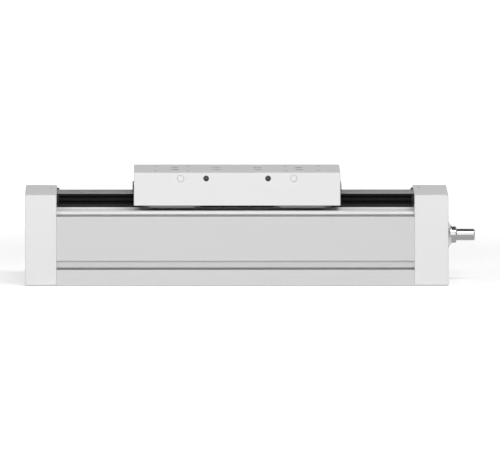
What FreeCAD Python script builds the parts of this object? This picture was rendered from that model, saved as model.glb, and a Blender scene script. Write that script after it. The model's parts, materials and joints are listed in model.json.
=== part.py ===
import FreeCAD, Part
import math
import os

import Sketcher

# Ball screw linear axis. An extruded body carries two guide rails and a fixed cover strip.
# A ball screw turns in bearings in the two end caps, and its nut drives a table along the rails.
# Lengths are millimetres. X runs along the travel, with the drive shaft at +X, and Z is up.
# The origin is the middle of the body's mounting face.

DIMENSIONS = {
    # extruded body
    "profile_length": 358.0,
    "profile_width": 158.0,
    "profile_edge": 0.6,
    "foot_height": 16.2,
    "clamp_groove_height": 9.3,
    "clamp_groove_depth": 1.2,
    "clamp_groove_lean": 0.7,
    "clamp_slot_height": 2.4,
    "clamp_slot_depth": 7.0,
    "side_ledge_drop": 1.6,
    "side_lip_height": 2.6,
    "side_lip_setback": 4.0,
    "side_groove_height": 2.4,
    "side_groove_depth": 8.0,
    "side_groove_edge": 0.6,
    "tslot_inset": 34.0,
    "tslot_neck": 8.2,
    "tslot_width": 14.6,
    "tslot_lip": 4.6,
    "tslot_chamber": 5.4,
    "floor_wall": 6.0,
    "bay_side_gap": 4.0,
    "bay_corner": 8.0,
    "bay_shoulder_drop": 12.1,
    "bay_taper": 10.0,
    "bay_wall": 8.0,
    "deck_wall": 10.0,
    "flank_wall": 13.0,
    "chamber_corner": 5.0,
    # guide rails and the strips on top of them
    "rail_width": 17.0,
    "rail_height": 13.7,
    "rail_setback": 0.4,
    "rail_end_gap": 0.3,
    "rail_chamfer": 0.8,
    "rail_cover_thickness": 0.3,
    "upper_track_drop": 3.5,
    "track_pitch": 4.8,
    "track_radius": 1.6,
    "rail_screw_margin": 28.7,
    "rail_screw_rows": 6,
    "rail_head_depth": 1.0,
    "rail_thread_depth": 13.0,
    "cover_width": 18.4,
    "cover_thickness": 1.5,
    "cover_tongue": 7.5,
    # end caps
    "cap_proud": 1.0,
    "cap_base": 1.0,
    "cap_rise": 1.5,
    "cap_edge": 0.5,
    "idle_cap_wall": 13.5,
    "drive_cap_wall": 9.0,
    "cap_screw_inset": 15.0,
    "cap_screw_low": 9.5,
    "cap_screw_drop": 10.0,
    "cap_thread_depth": 14.5,
    "cap_head_depth": 0.5,
    "cap_port_inset": 5.6,
    "cap_port_offset": 32.0,
    "cap_port_radius": 2.3,
    "cap_port_depth": 9.0,
    "motor_thread_spacing": 66.0,
    "motor_thread_radius": 2.5,
    "motor_thread_depth": 14.0,
    # end buffers
    "buffer_inset": 8.4,
    "buffer_drop": 6.3,
    "buffer_radius": 5.0,
    "buffer_thickness": 2.2,
    "buffer_stud_radius": 2.4,
    "buffer_stud_length": 6.0,
    # ball screw and its bearings
    "journal_radius": 6.0,
    "journal_length": 18.7,
    "journal_chamfer": 1.0,
    "seat_step": 2.5,
    "screw_step": 1.5,
    "collar_reach": 8.75,
    "drive_ring_wall": 2.9,
    "drive_ball_space": 3.2,
    "drive_bearing_width": 10.0,
    "idle_inner_ring_wall": 2.6,
    "idle_ball_space": 3.0,
    "idle_outer_ring_wall": 2.4,
    "idle_bearing_width": 8.0,
    "idle_bearing_inset": 6.0,
    "idle_journal_tail": 2.6,
    "idle_end_gap": 0.4,
    "shield_thickness": 0.8,
    "snap_ring_thickness": 1.0,
    "snap_ring_rise": 2.0,
    "snap_ring_gap": 2.0,
    "snap_groove_depth": 0.5,
    "retainer_thickness": 5.0,
    "retainer_gap": 2.5,
    "wrench_hole_radius": 0.8,
    "lock_nut_rim": 2.35,
    "lock_nut_boss": 1.0,
    "lock_nut_stand": 0.9,
    "lock_nut_taper": 2.4,
    "lock_nut_nose_wall": 1.5,
    "lock_nut_nose": 0.8,
    "lock_nut_slot_width": 3.0,
    "lock_nut_slot_depth": 1.6,
    # table
    "table_length": 206.8,
    "table_plate": 13.5,
    "table_edge": 0.5,
    "table_rest": 1.7,
    "skirt_lift": 3.7,
    "skirt_gap": 3.4,
    "skirt_thickness": 10.0,
    "end_wall": 8.0,
    "tunnel_clearance": 1.0,
    "centring_pitch": 41.4,
    "centring_row": 30.8,
    "centring_radius": 4.5,
    "centring_depth": 2.2,
    "centring_thread_radius": 2.5,
    "table_thread_reach": 32.8,
    "table_thread_row": 77.0,
    "table_thread_radius": 2.1,
    "table_thread_depth": 10.0,
    "port_drop": 6.0,
    "port_offset": 31.0,
    "port_radius": 2.9,
    "port_depth": 10.0,
    "plug_offset": 56.6,
    "plug_radius": 3.5,
    "plug_depth": 8.0,
    "plug_edge": 0.5,
    "plug_recess": 0.1,
    # runner blocks
    "runner_end_gap": 0.5,
    "runner_length": 45.0,
    "runner_width": 21.0,
    "runner_lift": 0.5,
    "runner_leg": 8.6,
    "runner_step": 4.0,
    "runner_gap": 0.3,
    "runner_screw_reach": 10.0,
    "runner_head_depth": 0.6,
    "runner_thread_depth": 8.0,
    "runner_cap_thickness": 6.0,
    "runner_cap_inset": 0.4,
    "runner_seal_thickness": 1.0,
    # ball nut and the bracket that joins it to the table
    "nut_wall": 6.0,
    "nut_length": 46.0,
    "nut_flange_rise": 5.5,
    "nut_flange_thickness": 9.0,
    "nut_flat_cut": 2.5,
    "nut_collar_step": 2.0,
    "nut_collar_length": 2.0,
    "nut_screw_inset": 3.0,
    "nut_thread_depth": 12.0,
    "nut_floor_gap": 9.1,
    "bracket_end": 7.3,
    "bracket_cheek": 8.0,
    "bracket_floor_wall": 6.6,
    "bracket_corner": 4.0,
    "bracket_shoulder_gap": 1.0,
    "neck_drop": 3.0,
    "neck_wall": 2.8,
    "neck_clearance": 0.7,
    "cover_side_gap": 0.6,
    "cover_drop": 3.0,
    "flange_margin": 8.6,
    "flange_thickness": 7.0,
    "flange_clearance": 2.5,
    "flange_thread_floor": 0.4,
    # table wipers
    "wiper_land": 0.15,
    "wiper_inset": 0.7,
    "wiper_top_gap": 1.0,
    "wiper_screw_inset": 8.0,
    "wiper_screw_length": 7.0,
    # fits and fasteners
    "running_clearance": 0.3,
    "fit_clearance": 0.02,
    "thread_clearance": 0.05,
    "counterbore_clearance": 0.3,
    "cut_overshoot": 1.0,
    "five_shank": 2.5,
    "five_head": 4.2,
    "five_head_height": 5.0,
    "five_socket": 4.0,
    "six_shank": 3.0,
    "six_head": 5.0,
    "six_head_height": 6.0,
    "six_socket": 5.0,
    "three_shank": 1.5,
    "three_head": 2.7,
    "three_head_height": 3.0,
    "three_socket": 2.5,
    "socket_depth_share": 0.55,
}

SIDES = (-1, 1)
DIAGONAL = math.sqrt(0.5)


class Size:
    """A length that keeps its formula, so that a sketch or feature can be bound to the sheet."""

    def __init__(self, value, text):
        self.value = value
        self.text = text

    def __add__(self, other):
        other = as_size(other)
        return Size(self.value + other.value, "(%s + %s)" % (self.text, other.text))

    def __sub__(self, other):
        other = as_size(other)
        return Size(self.value - other.value, "(%s - %s)" % (self.text, other.text))

    def __mul__(self, other):
        other = as_size(other)
        return Size(self.value * other.value, "(%s * %s)" % (self.text, other.text))

    def __truediv__(self, other):
        other = as_size(other)
        return Size(self.value / other.value, "(%s / %s)" % (self.text, other.text))

    def __neg__(self):
        return Size(-self.value, "(0 - %s)" % self.text)


def as_size(item):
    if isinstance(item, Size):
        return item
    return Size(float(item), "(%r)" % float(item))


class SheetSizes:
    """Each cell of the sheet as a Size, under the cell's alias."""

    def __init__(self, sheet, aliases):
        for alias in aliases:
            setattr(self, alias, Size(float(sheet.get(alias)), "%s.%s" % (sheet.Name, alias)))


doc = FreeCAD.newDocument("linear_axis")
dimension_sheet = doc.addObject("Spreadsheet::Sheet", "Sizes")
for row, (alias, value) in enumerate(DIMENSIONS.items(), start=1):
    dimension_sheet.set("A%d" % row, alias)
    dimension_sheet.set("B%d" % row, str(value))
    dimension_sheet.setAlias("B%d" % row, alias)
doc.recompute()
size = SheetSizes(dimension_sheet, DIMENSIONS)
nodes = []

# Radii of the turned pieces, from the drive journal outwards.
seat_radius = size.journal_radius + size.seat_step
screw_radius = seat_radius + size.screw_step
drive_inner_ring_radius = seat_radius + size.drive_ring_wall
drive_bearing_radius = drive_inner_ring_radius + size.drive_ball_space + size.drive_ring_wall
idle_inner_ring_radius = size.journal_radius + size.idle_inner_ring_wall
idle_bearing_radius = idle_inner_ring_radius + size.idle_ball_space + size.idle_outer_ring_wall
lock_nut_radius = drive_inner_ring_radius + size.lock_nut_rim
nut_bore_radius = screw_radius + size.running_clearance
nut_radius = screw_radius + size.nut_wall
nut_flange_radius = nut_radius + size.nut_flange_rise

# Heights, from the mounting face up.
tslot_top = size.tslot_lip + size.tslot_chamber
bay_floor = tslot_top + size.floor_wall
screw_height = bay_floor + size.nut_floor_gap + nut_flange_radius
bay_shoulder = screw_height + nut_flange_radius - size.bay_shoulder_drop
slot_roof = bay_shoulder + size.bay_taper
ledge_height = slot_roof + size.deck_wall
rail_top = ledge_height + size.rail_height
upper_track_height = rail_top - size.upper_track_drop
track_heights = (upper_track_height - size.track_pitch, upper_track_height)
deck_top = rail_top + size.rail_cover_thickness
cap_top = deck_top + size.cap_rise
buffer_height = cap_top - size.buffer_drop
flange_base = deck_top + size.flange_clearance
table_base = flange_base + size.flange_thickness
table_top = table_base + size.table_plate
skirt_base = ledge_height + size.skirt_lift
port_height = table_top - size.port_drop
runner_foot = ledge_height + size.runner_lift
wiper_base = deck_top + size.running_clearance
wiper_top = table_base - size.wiper_top_gap
wiper_screw_height = (wiper_base + wiper_top) / 2

# Offsets from the middle plane, outwards.
half_width = size.profile_width / 2
bracket_half_width = nut_radius + size.bracket_cheek
bay_half_width = bracket_half_width + size.bay_side_gap
cover_tunnel = size.cover_width / 2 + size.cover_side_gap
neck_half_width = cover_tunnel + size.neck_wall
slot_half_width = neck_half_width + size.neck_clearance
rail_inner = slot_half_width + size.rail_setback
rail_centre = rail_inner + size.rail_width / 2
rail_outer = rail_inner + size.rail_width
track_centre = rail_outer + size.runner_gap / 2
runner_inner = rail_outer + size.runner_gap
runner_screw_row = runner_inner + size.runner_width / 2
runner_outer = runner_inner + size.runner_width
skirt_inner = runner_outer + size.skirt_gap
table_half_width = skirt_inner + size.skirt_thickness
buffer_offset = table_half_width - size.buffer_inset
wiper_half_width = rail_outer - size.wiper_inset
wiper_screw_offset = wiper_half_width - size.wiper_screw_inset

# Stations along the travel.
half_length = size.profile_length / 2
rail_length = size.profile_length - size.rail_end_gap * 2
idle_shoulder = -half_length - size.idle_bearing_inset
idle_ring_end = idle_shoulder - size.idle_bearing_width
idle_screw_end = idle_ring_end - size.snap_ring_thickness - size.idle_journal_tail
idle_bore_end = idle_screw_end - size.idle_end_gap
idle_face = idle_bore_end - size.idle_cap_wall
drive_shoulder = half_length + size.retainer_thickness
drive_seat_end = drive_shoulder + size.drive_bearing_width * 2
drive_face = drive_seat_end + size.drive_cap_wall
table_half_length = size.table_length / 2
hollow_half_length = table_half_length - size.end_wall
runner_half_length = size.runner_length / 2 + size.runner_cap_thickness + size.runner_seal_thickness
runner_offset = hollow_half_length - size.runner_end_gap - runner_half_length
bracket_length = size.centring_pitch + size.bracket_end * 2

# Depths and places that a hole shares with its screw.
rail_counterbore_depth = size.five_head_height + size.rail_head_depth
runner_counterbore_depth = size.five_head_height + size.runner_head_depth
table_counterbore_depth = size.five_head_height + size.counterbore_clearance
cap_counterbore_depth = size.six_head_height + size.cap_head_depth
flange_thread_depth = size.flange_thickness - size.flange_thread_floor
countersink_depth = size.three_head - size.three_shank + size.thread_clearance
wiper_thickness = countersink_depth + size.wiper_land
cap_screw_places = [
    ((half_width - size.cap_screw_inset) * side, height)
    for side in SIDES
    for height in (size.cap_screw_low, ledge_height - size.cap_screw_drop)
]
rail_screw_rows = int(size.rail_screw_rows.value)
rail_screw_reach = rail_length / 2 - size.rail_screw_margin
rail_screw_stations = [
    rail_screw_reach * (2 * index / (rail_screw_rows - 1) - 1) for index in range(rail_screw_rows)
]
runner_screw_stations = [
    (runner_offset + size.runner_screw_reach * step) * end for end in SIDES for step in SIDES
]
bracket_screw_places = [
    (size.centring_pitch / 2 * end, size.centring_row / 2 * side) for end in SIDES for side in SIDES
]


def vector(point):
    return FreeCAD.Vector(as_size(point[0]).value, as_size(point[1]).value, 0)


def new_body(label):
    body = doc.addObject("PartDesign::Body", label)
    body.Label = label
    return body


def keep(part):
    """Marks a finished piece as a node of the assembly."""
    nodes.append(part)
    return part


def new_sketch(body, name, role, offset=None):
    """A sketch on one of the body's own planes, moved along the plane's normal by offset."""
    sketch = body.newObject("Sketcher::SketchObject", name)
    plane = next(item for item in body.Origin.OriginFeatures if item.Role == role)
    sketch.AttachmentSupport = [(plane, "")]
    sketch.MapMode = "FlatFace"
    if offset is not None:
        sketch.setExpression(".AttachmentOffset.Base.z", as_size(offset).text)
    return sketch


def hold_point(sketch, geometry, vertex, point):
    """Ties one point of a sketch to the sketch's axes with two bound dimensions."""
    for kind, axis, item in (("DistanceX", -2, point[0]), ("DistanceY", -1, point[1])):
        length = as_size(item)
        if abs(length.value) < 1e-9:
            sketch.addConstraint(Sketcher.Constraint("PointOnObject", geometry, vertex, axis))
            continue
        index = sketch.addConstraint(
            Sketcher.Constraint(kind, -1, 1, geometry, vertex, length.value)
        )
        sketch.setExpression("Constraints[%d]" % index, length.text)


def add_polygon(sketch, corners):
    """A closed run of straight lines through the corners."""
    first = sketch.GeometryCount
    count = len(corners)
    for index, corner in enumerate(corners):
        line = Part.LineSegment(vector(corner), vector(corners[(index + 1) % count]))
        sketch.addGeometry(line, False)
    for index, corner in enumerate(corners):
        following = first + (index + 1) % count
        sketch.addConstraint(Sketcher.Constraint("Coincident", first + index, 2, following, 1))
        hold_point(sketch, first + index, 1, corner)


def add_rectangle(sketch, across, up):
    """A rectangle between two lengths across and two lengths up."""
    add_polygon(sketch, [
        (across[0], up[0]), (across[1], up[0]), (across[1], up[1]), (across[0], up[1]),
    ])


def add_circle(sketch, centre, radius):
    circle = Part.Circle(vector(centre), FreeCAD.Vector(0, 0, 1), radius.value)
    geometry = sketch.addGeometry(circle, False)
    hold_point(sketch, geometry, 3, centre)
    index = sketch.addConstraint(Sketcher.Constraint("Radius", geometry, radius.value))
    sketch.setExpression("Constraints[%d]" % index, radius.text)


def mirrored(half):
    """A whole outline from its half at positive y, listed from the bottom up."""
    return half + [(-across, up) for across, up in reversed(half)]


def pad(body, sketch, length):
    feature = body.newObject("PartDesign::Pad", sketch.Name + "_pad")
    feature.Profile = sketch
    feature.setExpression("Length", length.text)
    doc.recompute()
    return feature


def pocket(body, sketch, depth=None, forward=False):
    """Cuts a sketch out of the body, against the sketch's normal or forward along it."""
    feature = body.newObject("PartDesign::Pocket", sketch.Name + "_cut")
    feature.Profile = sketch
    feature.Reversed = forward
    if depth is None:
        feature.Type = "ThroughAll"
    else:
        feature.setExpression("Length", depth.text)
    doc.recompute()
    return feature


def drill(body, name, role, offset, places, radius, depth=None, forward=False):
    """Round holes of one radius and depth at several places."""
    sketch = new_sketch(body, name, role, offset)
    for place in places:
        add_circle(sketch, place, radius)
    return pocket(body, sketch, depth, forward)


def break_edges(body, feature, chamfer_size):
    """A small chamfer on every edge of a plain block."""
    chamfer = body.newObject("PartDesign::Chamfer", feature.Name + "_edges")
    chamfer.Base = (feature, ["Edge%d" % (index + 1) for index in range(len(feature.Shape.Edges))])
    chamfer.setExpression("Size", chamfer_size.text)
    doc.recompute()
    return chamfer


def countersink(body, feature, station, radius, depth):
    """A conical mouth on the holes of one radius in the face at a station along X."""
    rims = []
    for index, edge in enumerate(feature.Shape.Edges):
        round_rim = isinstance(edge.Curve, Part.Circle) and abs(edge.Curve.Radius - radius.value) < 1e-6
        if round_rim and abs(edge.Curve.Center.x - station.value) < 1e-6:
            rims.append("Edge%d" % (index + 1))
    chamfer = body.newObject("PartDesign::Chamfer", feature.Name + "_countersink")
    chamfer.Base = (feature, rims)
    chamfer.setExpression("Size", depth.text)
    doc.recompute()
    return chamfer


def turn(label, outline, axis):
    """A turned piece from half of its section. The axis is H_Axis along X or V_Axis along Z."""
    body = new_body(label)
    sketch = new_sketch(body, label + "_section", "XZ_Plane")
    add_polygon(sketch, outline)
    feature = body.newObject("PartDesign::Revolution", label + "_turned")
    feature.Profile = sketch
    feature.ReferenceAxis = (sketch, [axis])
    feature.Angle = 360
    doc.recompute()
    return body


def place(part, along=None, across=None, up=None):
    """Binds a piece's position to the sheet."""
    for letter, length in (("x", along), ("y", across), ("z", up)):
        if length is not None:
            part.setExpression(".Placement.Base." + letter, as_size(length).text)
    return part


def block(label, corner, lengths):
    """A plain strip or bar from its lowest corner and its lengths along x, y and z."""
    bar = doc.addObject("Part::Box", label)
    bar.Label = label
    for name, length in zip(("Length", "Width", "Height"), lengths):
        bar.setExpression(name, length.text)
    return place(bar, *corner)


def cap_screw(name, shank, length, head, head_height, socket):
    """A socket head screw along Z, with the underside of its head at zero."""
    radius = shank - size.thread_clearance
    body = turn(name, [
        (0, -length), (radius, -length), (radius, 0),
        (head, 0), (head, head_height), (0, head_height),
    ], "V_Axis")
    cut_socket(body, name, head_height, socket, head_height * size.socket_depth_share)
    return body


def countersunk_screw(name, shank, length, head, socket):
    """A flat head screw along Z, with the top of its head at zero."""
    radius = shank - size.thread_clearance
    taper = head - radius
    body = turn(name, [(0, -length), (radius, -length), (radius, -taper), (head, 0), (0, 0)], "V_Axis")
    cut_socket(body, name, 0, socket, taper * size.socket_depth_share)
    return body


def cut_socket(body, name, top, socket, depth):
    """A hexagon socket, given by its width across flats."""
    sketch = new_sketch(body, name + "_socket", "XY_Plane", top)
    corner = socket / math.sqrt(3)
    turns = [math.radians(60 * index) for index in range(6)]
    add_polygon(sketch, [(corner * math.cos(angle), corner * math.sin(angle)) for angle in turns])
    pocket(body, sketch, depth)


def gather(label, placed):
    """One node of separate solids, each a copy of a pattern piece at its own placement."""
    group = doc.addObject("Part::Feature", label)
    group.Label = label
    copies = []
    for pattern, placement in placed:
        copy = pattern.Shape.copy()
        copy.Placement = placement.multiply(copy.Placement)
        copies.append(copy)
    group.Shape = Part.makeCompound(copies)
    return keep(group)


def scatter(label, pattern, placements):
    """One node of like pieces: a copy of the pattern piece at each placement."""
    return gather(label, [(pattern, placement) for placement in placements])


UPRIGHT = FreeCAD.Rotation()
INVERTED = FreeCAD.Rotation(FreeCAD.Vector(1, 0, 0), 180)
HEAD_TO_DRIVE = FreeCAD.Rotation(FreeCAD.Vector(0, 1, 0), 90)
HEAD_TO_IDLE = FreeCAD.Rotation(FreeCAD.Vector(0, 1, 0), -90)


def at(along, across, up, rotation=UPRIGHT):
    point = [as_size(item).value for item in (along, across, up)]
    return FreeCAD.Placement(FreeCAD.Vector(*point), rotation)


def make_profile_body():
    """The extrusion: screw bay between raised rail seats, hollow flanks, clamp grooves and two T-slots."""
    edge = size.profile_edge
    groove_edge = size.side_groove_edge
    groove_top = size.foot_height + size.clamp_groove_height
    groove_wall = half_width - size.clamp_groove_depth
    clamp_slot_top = size.foot_height + size.clamp_slot_height
    clamp_slot_wall = half_width - size.clamp_slot_depth
    side_ledge = ledge_height - size.side_ledge_drop
    side_groove_top = side_ledge - size.side_lip_height
    side_groove_base = side_groove_top - size.side_groove_height
    side_groove_wall = half_width - size.side_groove_depth
    lip_face = half_width - size.side_lip_setback
    rail_seat = rail_outer - size.rail_setback
    tslot_offset = half_width - size.tslot_inset
    neck = [tslot_offset + size.tslot_neck / 2 * side for side in SIDES]
    slot = [tslot_offset + size.tslot_width / 2 * side for side in SIDES]
    half_outline = [
        (neck[0], 0), (neck[0], size.tslot_lip), (slot[0], size.tslot_lip), (slot[0], tslot_top),
        (slot[1], tslot_top), (slot[1], size.tslot_lip), (neck[1], size.tslot_lip), (neck[1], 0),
        (half_width - edge, 0), (half_width, edge),
        (half_width, size.foot_height), (clamp_slot_wall, size.foot_height),
        (clamp_slot_wall, clamp_slot_top), (groove_wall - size.clamp_groove_lean, clamp_slot_top),
        (groove_wall, groove_top), (half_width, groove_top),
        (half_width, side_groove_base - groove_edge), (half_width - groove_edge, side_groove_base),
        (side_groove_wall, side_groove_base),
        (side_groove_wall, side_groove_top), (lip_face, side_groove_top),
        (lip_face, side_ledge - edge), (lip_face - edge, side_ledge),
        (rail_seat, side_ledge), (rail_seat, ledge_height),
        (slot_half_width, ledge_height), (slot_half_width, slot_roof),
        (bay_half_width, bay_shoulder), (bay_half_width, bay_floor + size.bay_corner),
        (bay_half_width - size.bay_corner, bay_floor),
    ]
    inner = bay_half_width + size.bay_wall
    outer = half_width - size.flank_wall
    corner = size.chamber_corner
    chamber = [
        (inner, bay_floor), (outer - corner, bay_floor),
        (outer, bay_floor + corner), (outer, bay_shoulder - corner),
        (outer - corner, bay_shoulder), (inner, bay_shoulder),
    ]
    body = new_body("profile_body")
    section = new_sketch(body, "profile_section", "YZ_Plane", -half_length)
    add_polygon(section, mirrored(half_outline))
    for side in SIDES:
        add_polygon(section, [(across * side, up) for across, up in chamber])
    pad(body, section, size.profile_length)
    rail_threads = [(along, rail_centre * side) for along in rail_screw_stations for side in SIDES]
    drill(body, "rail_threads", "XY_Plane", ledge_height, rail_threads,
          size.five_shank, size.rail_thread_depth)
    for name, station, forward in (("drive_threads", half_length, False),
                                   ("idle_threads", -half_length, True)):
        drill(body, name, "YZ_Plane", station, cap_screw_places, size.six_shank,
              size.cap_thread_depth, forward)
    return keep(body)


def make_guide_rail(label, side):
    """A rail with two ball tracks on its outer flank and counterbored holes from the top."""
    chamfer = size.rail_chamfer
    outline = [
        (rail_inner + chamfer, ledge_height), (rail_outer - chamfer, ledge_height),
        (rail_outer, ledge_height + chamfer), (rail_outer, rail_top - chamfer),
        (rail_outer - chamfer, rail_top), (rail_inner + chamfer, rail_top),
        (rail_inner, rail_top - chamfer), (rail_inner, ledge_height + chamfer),
    ]
    body = new_body(label)
    section = new_sketch(body, label + "_section", "YZ_Plane", -rail_length / 2)
    add_polygon(section, [(across * side, up) for across, up in outline])
    pad(body, section, rail_length)
    tracks = [(track_centre * side, height) for height in track_heights]
    drill(body, label + "_tracks", "YZ_Plane", rail_length / 2, tracks, size.track_radius)
    holes = [(along, rail_centre * side) for along in rail_screw_stations]
    drill(body, label + "_holes", "XY_Plane", rail_top, holes,
          size.five_shank + size.counterbore_clearance)
    drill(body, label + "_counterbores", "XY_Plane", rail_top, holes,
          size.five_head + size.counterbore_clearance, rail_counterbore_depth)
    return keep(body)


def make_rail_cover(label, side):
    """The thin strip that closes the screw holes along the top of one rail."""
    chamfer = size.rail_chamfer
    width = size.rail_width - chamfer * 2
    across = rail_centre * side - width / 2
    return keep(block(label, (-rail_length / 2, across, rail_top),
                      (rail_length, width, size.rail_cover_thickness)))


def make_cover_strip():
    """The fixed strip between the rails, with its ends in the end caps."""
    length = size.profile_length + size.cover_tongue * 2
    corner = (-length / 2, -size.cover_width / 2, deck_top - size.cover_thickness)
    return keep(block("cover_strip", corner, (length, size.cover_width, size.cover_thickness)))


def make_end_cap(label, inner_station, outer_station, outward):
    """A machined cap with screw holes, buffer seats and the pockets for the cover strip."""
    body = new_body(label)
    into_cap_from_inside = outward > 0
    into_cap_from_outside = outward < 0
    outline = new_sketch(body, label + "_outline", "YZ_Plane",
                         inner_station if outward > 0 else outer_station)
    half_cap = half_width + size.cap_proud
    add_rectangle(outline, (-half_cap, half_cap), (size.cap_base, cap_top))
    thickness = (outer_station - inner_station) * outward
    break_edges(body, pad(body, outline, thickness), size.cap_edge)
    drill(body, label + "_screw_holes", "YZ_Plane", outer_station, cap_screw_places,
          size.six_shank + size.counterbore_clearance, None, into_cap_from_outside)
    drill(body, label + "_counterbores", "YZ_Plane", outer_station, cap_screw_places,
          size.six_head + size.counterbore_clearance, cap_counterbore_depth,
          into_cap_from_outside)
    buffer_places = [(buffer_offset * side, buffer_height) for side in SIDES]
    drill(body, label + "_buffer_seats", "YZ_Plane", inner_station, buffer_places,
          size.buffer_stud_radius + size.fit_clearance, size.buffer_stud_length + size.running_clearance,
          into_cap_from_inside)
    mortise = new_sketch(body, label + "_mortise", "YZ_Plane", inner_station)
    half_mortise = size.cover_width / 2 + size.fit_clearance
    add_rectangle(mortise, (-half_mortise, half_mortise),
                  (deck_top - size.cover_thickness - size.fit_clearance, deck_top + size.fit_clearance))
    pocket(body, mortise, size.cover_tongue + size.running_clearance, into_cap_from_inside)
    port = (inner_station + size.cap_port_inset * outward, size.cap_port_offset)
    drill(body, label + "_port", "XY_Plane", cap_top, [port], size.cap_port_radius,
          size.cap_port_depth)
    return body


def make_idle_end_cap():
    """The cap at the free end, with a blind bore for the floating bearing."""
    body = make_end_cap("idle_end_cap", -half_length, idle_face, -1)
    drill(body, "idle_bearing_bore", "YZ_Plane", -half_length, [(0, screw_height)],
          idle_bearing_radius + size.fit_clearance, -half_length - idle_bore_end)
    return keep(body)


def make_drive_end_cap():
    """The cap at the drive end, with the fixed bearing seat and threads for a motor housing."""
    body = make_end_cap("drive_end_cap", half_length, drive_face, 1)
    axis = [(0, screw_height)]
    drill(body, "drive_bearing_bore", "YZ_Plane", half_length, axis,
          drive_bearing_radius + size.fit_clearance, drive_seat_end - half_length, True)
    drill(body, "lock_nut_opening", "YZ_Plane", drive_face, axis,
          lock_nut_radius + size.running_clearance)
    reach = size.motor_thread_spacing / 2
    threads = [(reach * across, screw_height + reach * up) for across in SIDES for up in SIDES]
    drill(body, "motor_threads", "YZ_Plane", drive_face, threads, size.motor_thread_radius,
          size.motor_thread_depth)
    return keep(body)


def make_end_buffers():
    """Four rubber buffers, each a disc with a stud pressed into its cap."""
    shape = turn("end_buffer", [
        (0, -size.buffer_stud_length), (size.buffer_stud_radius, -size.buffer_stud_length),
        (size.buffer_stud_radius, 0), (size.buffer_radius, 0),
        (size.buffer_radius, size.buffer_thickness), (0, size.buffer_thickness),
    ], "V_Axis")
    scatter("end_buffers", shape, [
        at(station, buffer_offset * side, buffer_height, rotation)
        for station, rotation in ((-half_length, HEAD_TO_DRIVE), (half_length, HEAD_TO_IDLE))
        for side in SIDES
    ])


def make_ball_screw():
    """The screw with its floating journal, fixed bearing seat, thread end and drive journal."""
    groove = [idle_ring_end - size.snap_ring_thickness, idle_ring_end]
    groove_radius = size.journal_radius - size.snap_groove_depth
    collar_end = drive_face + size.collar_reach
    drive_end = collar_end + size.journal_length
    chamfer = size.journal_chamfer
    journal = size.journal_radius
    body = turn("ball_screw", [
        (idle_screw_end, 0), (idle_screw_end, journal - chamfer), (idle_screw_end + chamfer, journal),
        (groove[0], journal), (groove[0], groove_radius), (groove[1], groove_radius),
        (groove[1], journal), (idle_shoulder, journal), (idle_shoulder, screw_radius),
        (drive_shoulder, screw_radius), (drive_shoulder, seat_radius),
        (collar_end, seat_radius), (collar_end, journal),
        (drive_end - chamfer, journal), (drive_end, journal - chamfer), (drive_end, 0),
    ], "H_Axis")
    return keep(place(body, up=screw_height))


def make_inner_ring(name, bore, outer, width):
    return turn(name, [(0, bore), (0, outer), (width, outer), (width, bore)], "H_Axis")


def make_outer_ring(name, inner_ring, outer, wall, width):
    """An outer ring with the shields that close the bearing down to the inner ring."""
    lip = inner_ring + size.running_clearance
    track = outer - wall
    shield = size.shield_thickness
    return turn(name, [
        (0, lip), (0, outer), (width, outer), (width, lip),
        (width - shield, lip), (width - shield, track), (shield, track), (shield, lip),
    ], "H_Axis")


def make_bearings():
    """Two bearings side by side at the drive end and a floating one at the idle end."""
    drive_stations = (drive_shoulder, drive_shoulder + size.drive_bearing_width)
    drive_places = [at(station, 0, screw_height) for station in drive_stations]
    inner = make_inner_ring("drive_inner_ring", seat_radius + size.fit_clearance,
                            drive_inner_ring_radius, size.drive_bearing_width)
    outer = make_outer_ring("drive_outer_ring", drive_inner_ring_radius,
                            drive_bearing_radius, size.drive_ring_wall,
                            size.drive_bearing_width)
    scatter("drive_bearing_inner_rings", inner, drive_places)
    scatter("drive_bearing_outer_rings", outer, drive_places)
    idle_inner = make_inner_ring("idle_bearing_inner_ring", size.journal_radius + size.fit_clearance,
                                 idle_inner_ring_radius, size.idle_bearing_width)
    idle_outer = make_outer_ring("idle_bearing_outer_ring", idle_inner_ring_radius,
                                 idle_bearing_radius, size.idle_outer_ring_wall,
                                 size.idle_bearing_width)
    for ring in (idle_inner, idle_outer):
        keep(place(ring, along=idle_ring_end, up=screw_height))


def make_snap_ring():
    """The open ring in the groove of the idle journal, with its gap at the bottom."""
    inner = size.journal_radius - size.snap_groove_depth + size.fit_clearance
    outer = size.journal_radius + size.snap_ring_rise
    thickness = size.snap_ring_thickness
    body = turn("snap_ring", [
        (0, inner), (0, outer), (thickness, outer), (thickness, inner),
    ], "H_Axis")
    gap = new_sketch(body, "snap_ring_gap", "YZ_Plane", thickness)
    half_gap = size.snap_ring_gap / 2
    add_rectangle(gap, (-half_gap, half_gap), (-outer - size.cut_overshoot, size.cut_overshoot - inner))
    pocket(body, gap)
    return keep(place(body, along=idle_ring_end - thickness, up=screw_height))


def make_bearing_retainer():
    """The threaded ring that holds the drive bearings in their seat, with two wrench holes."""
    bore = screw_radius + size.retainer_gap
    body = turn("bearing_retainer", [
        (0, bore), (0, drive_bearing_radius),
        (size.retainer_thickness, drive_bearing_radius), (size.retainer_thickness, bore),
    ], "H_Axis")
    reach = (bore + drive_bearing_radius) / 2
    drill(body, "retainer_wrench_holes", "YZ_Plane", 0, [(reach, 0), (-reach, 0)],
          size.wrench_hole_radius, size.retainer_thickness / 2, True)
    return keep(place(body, along=half_length, up=screw_height))


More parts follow.
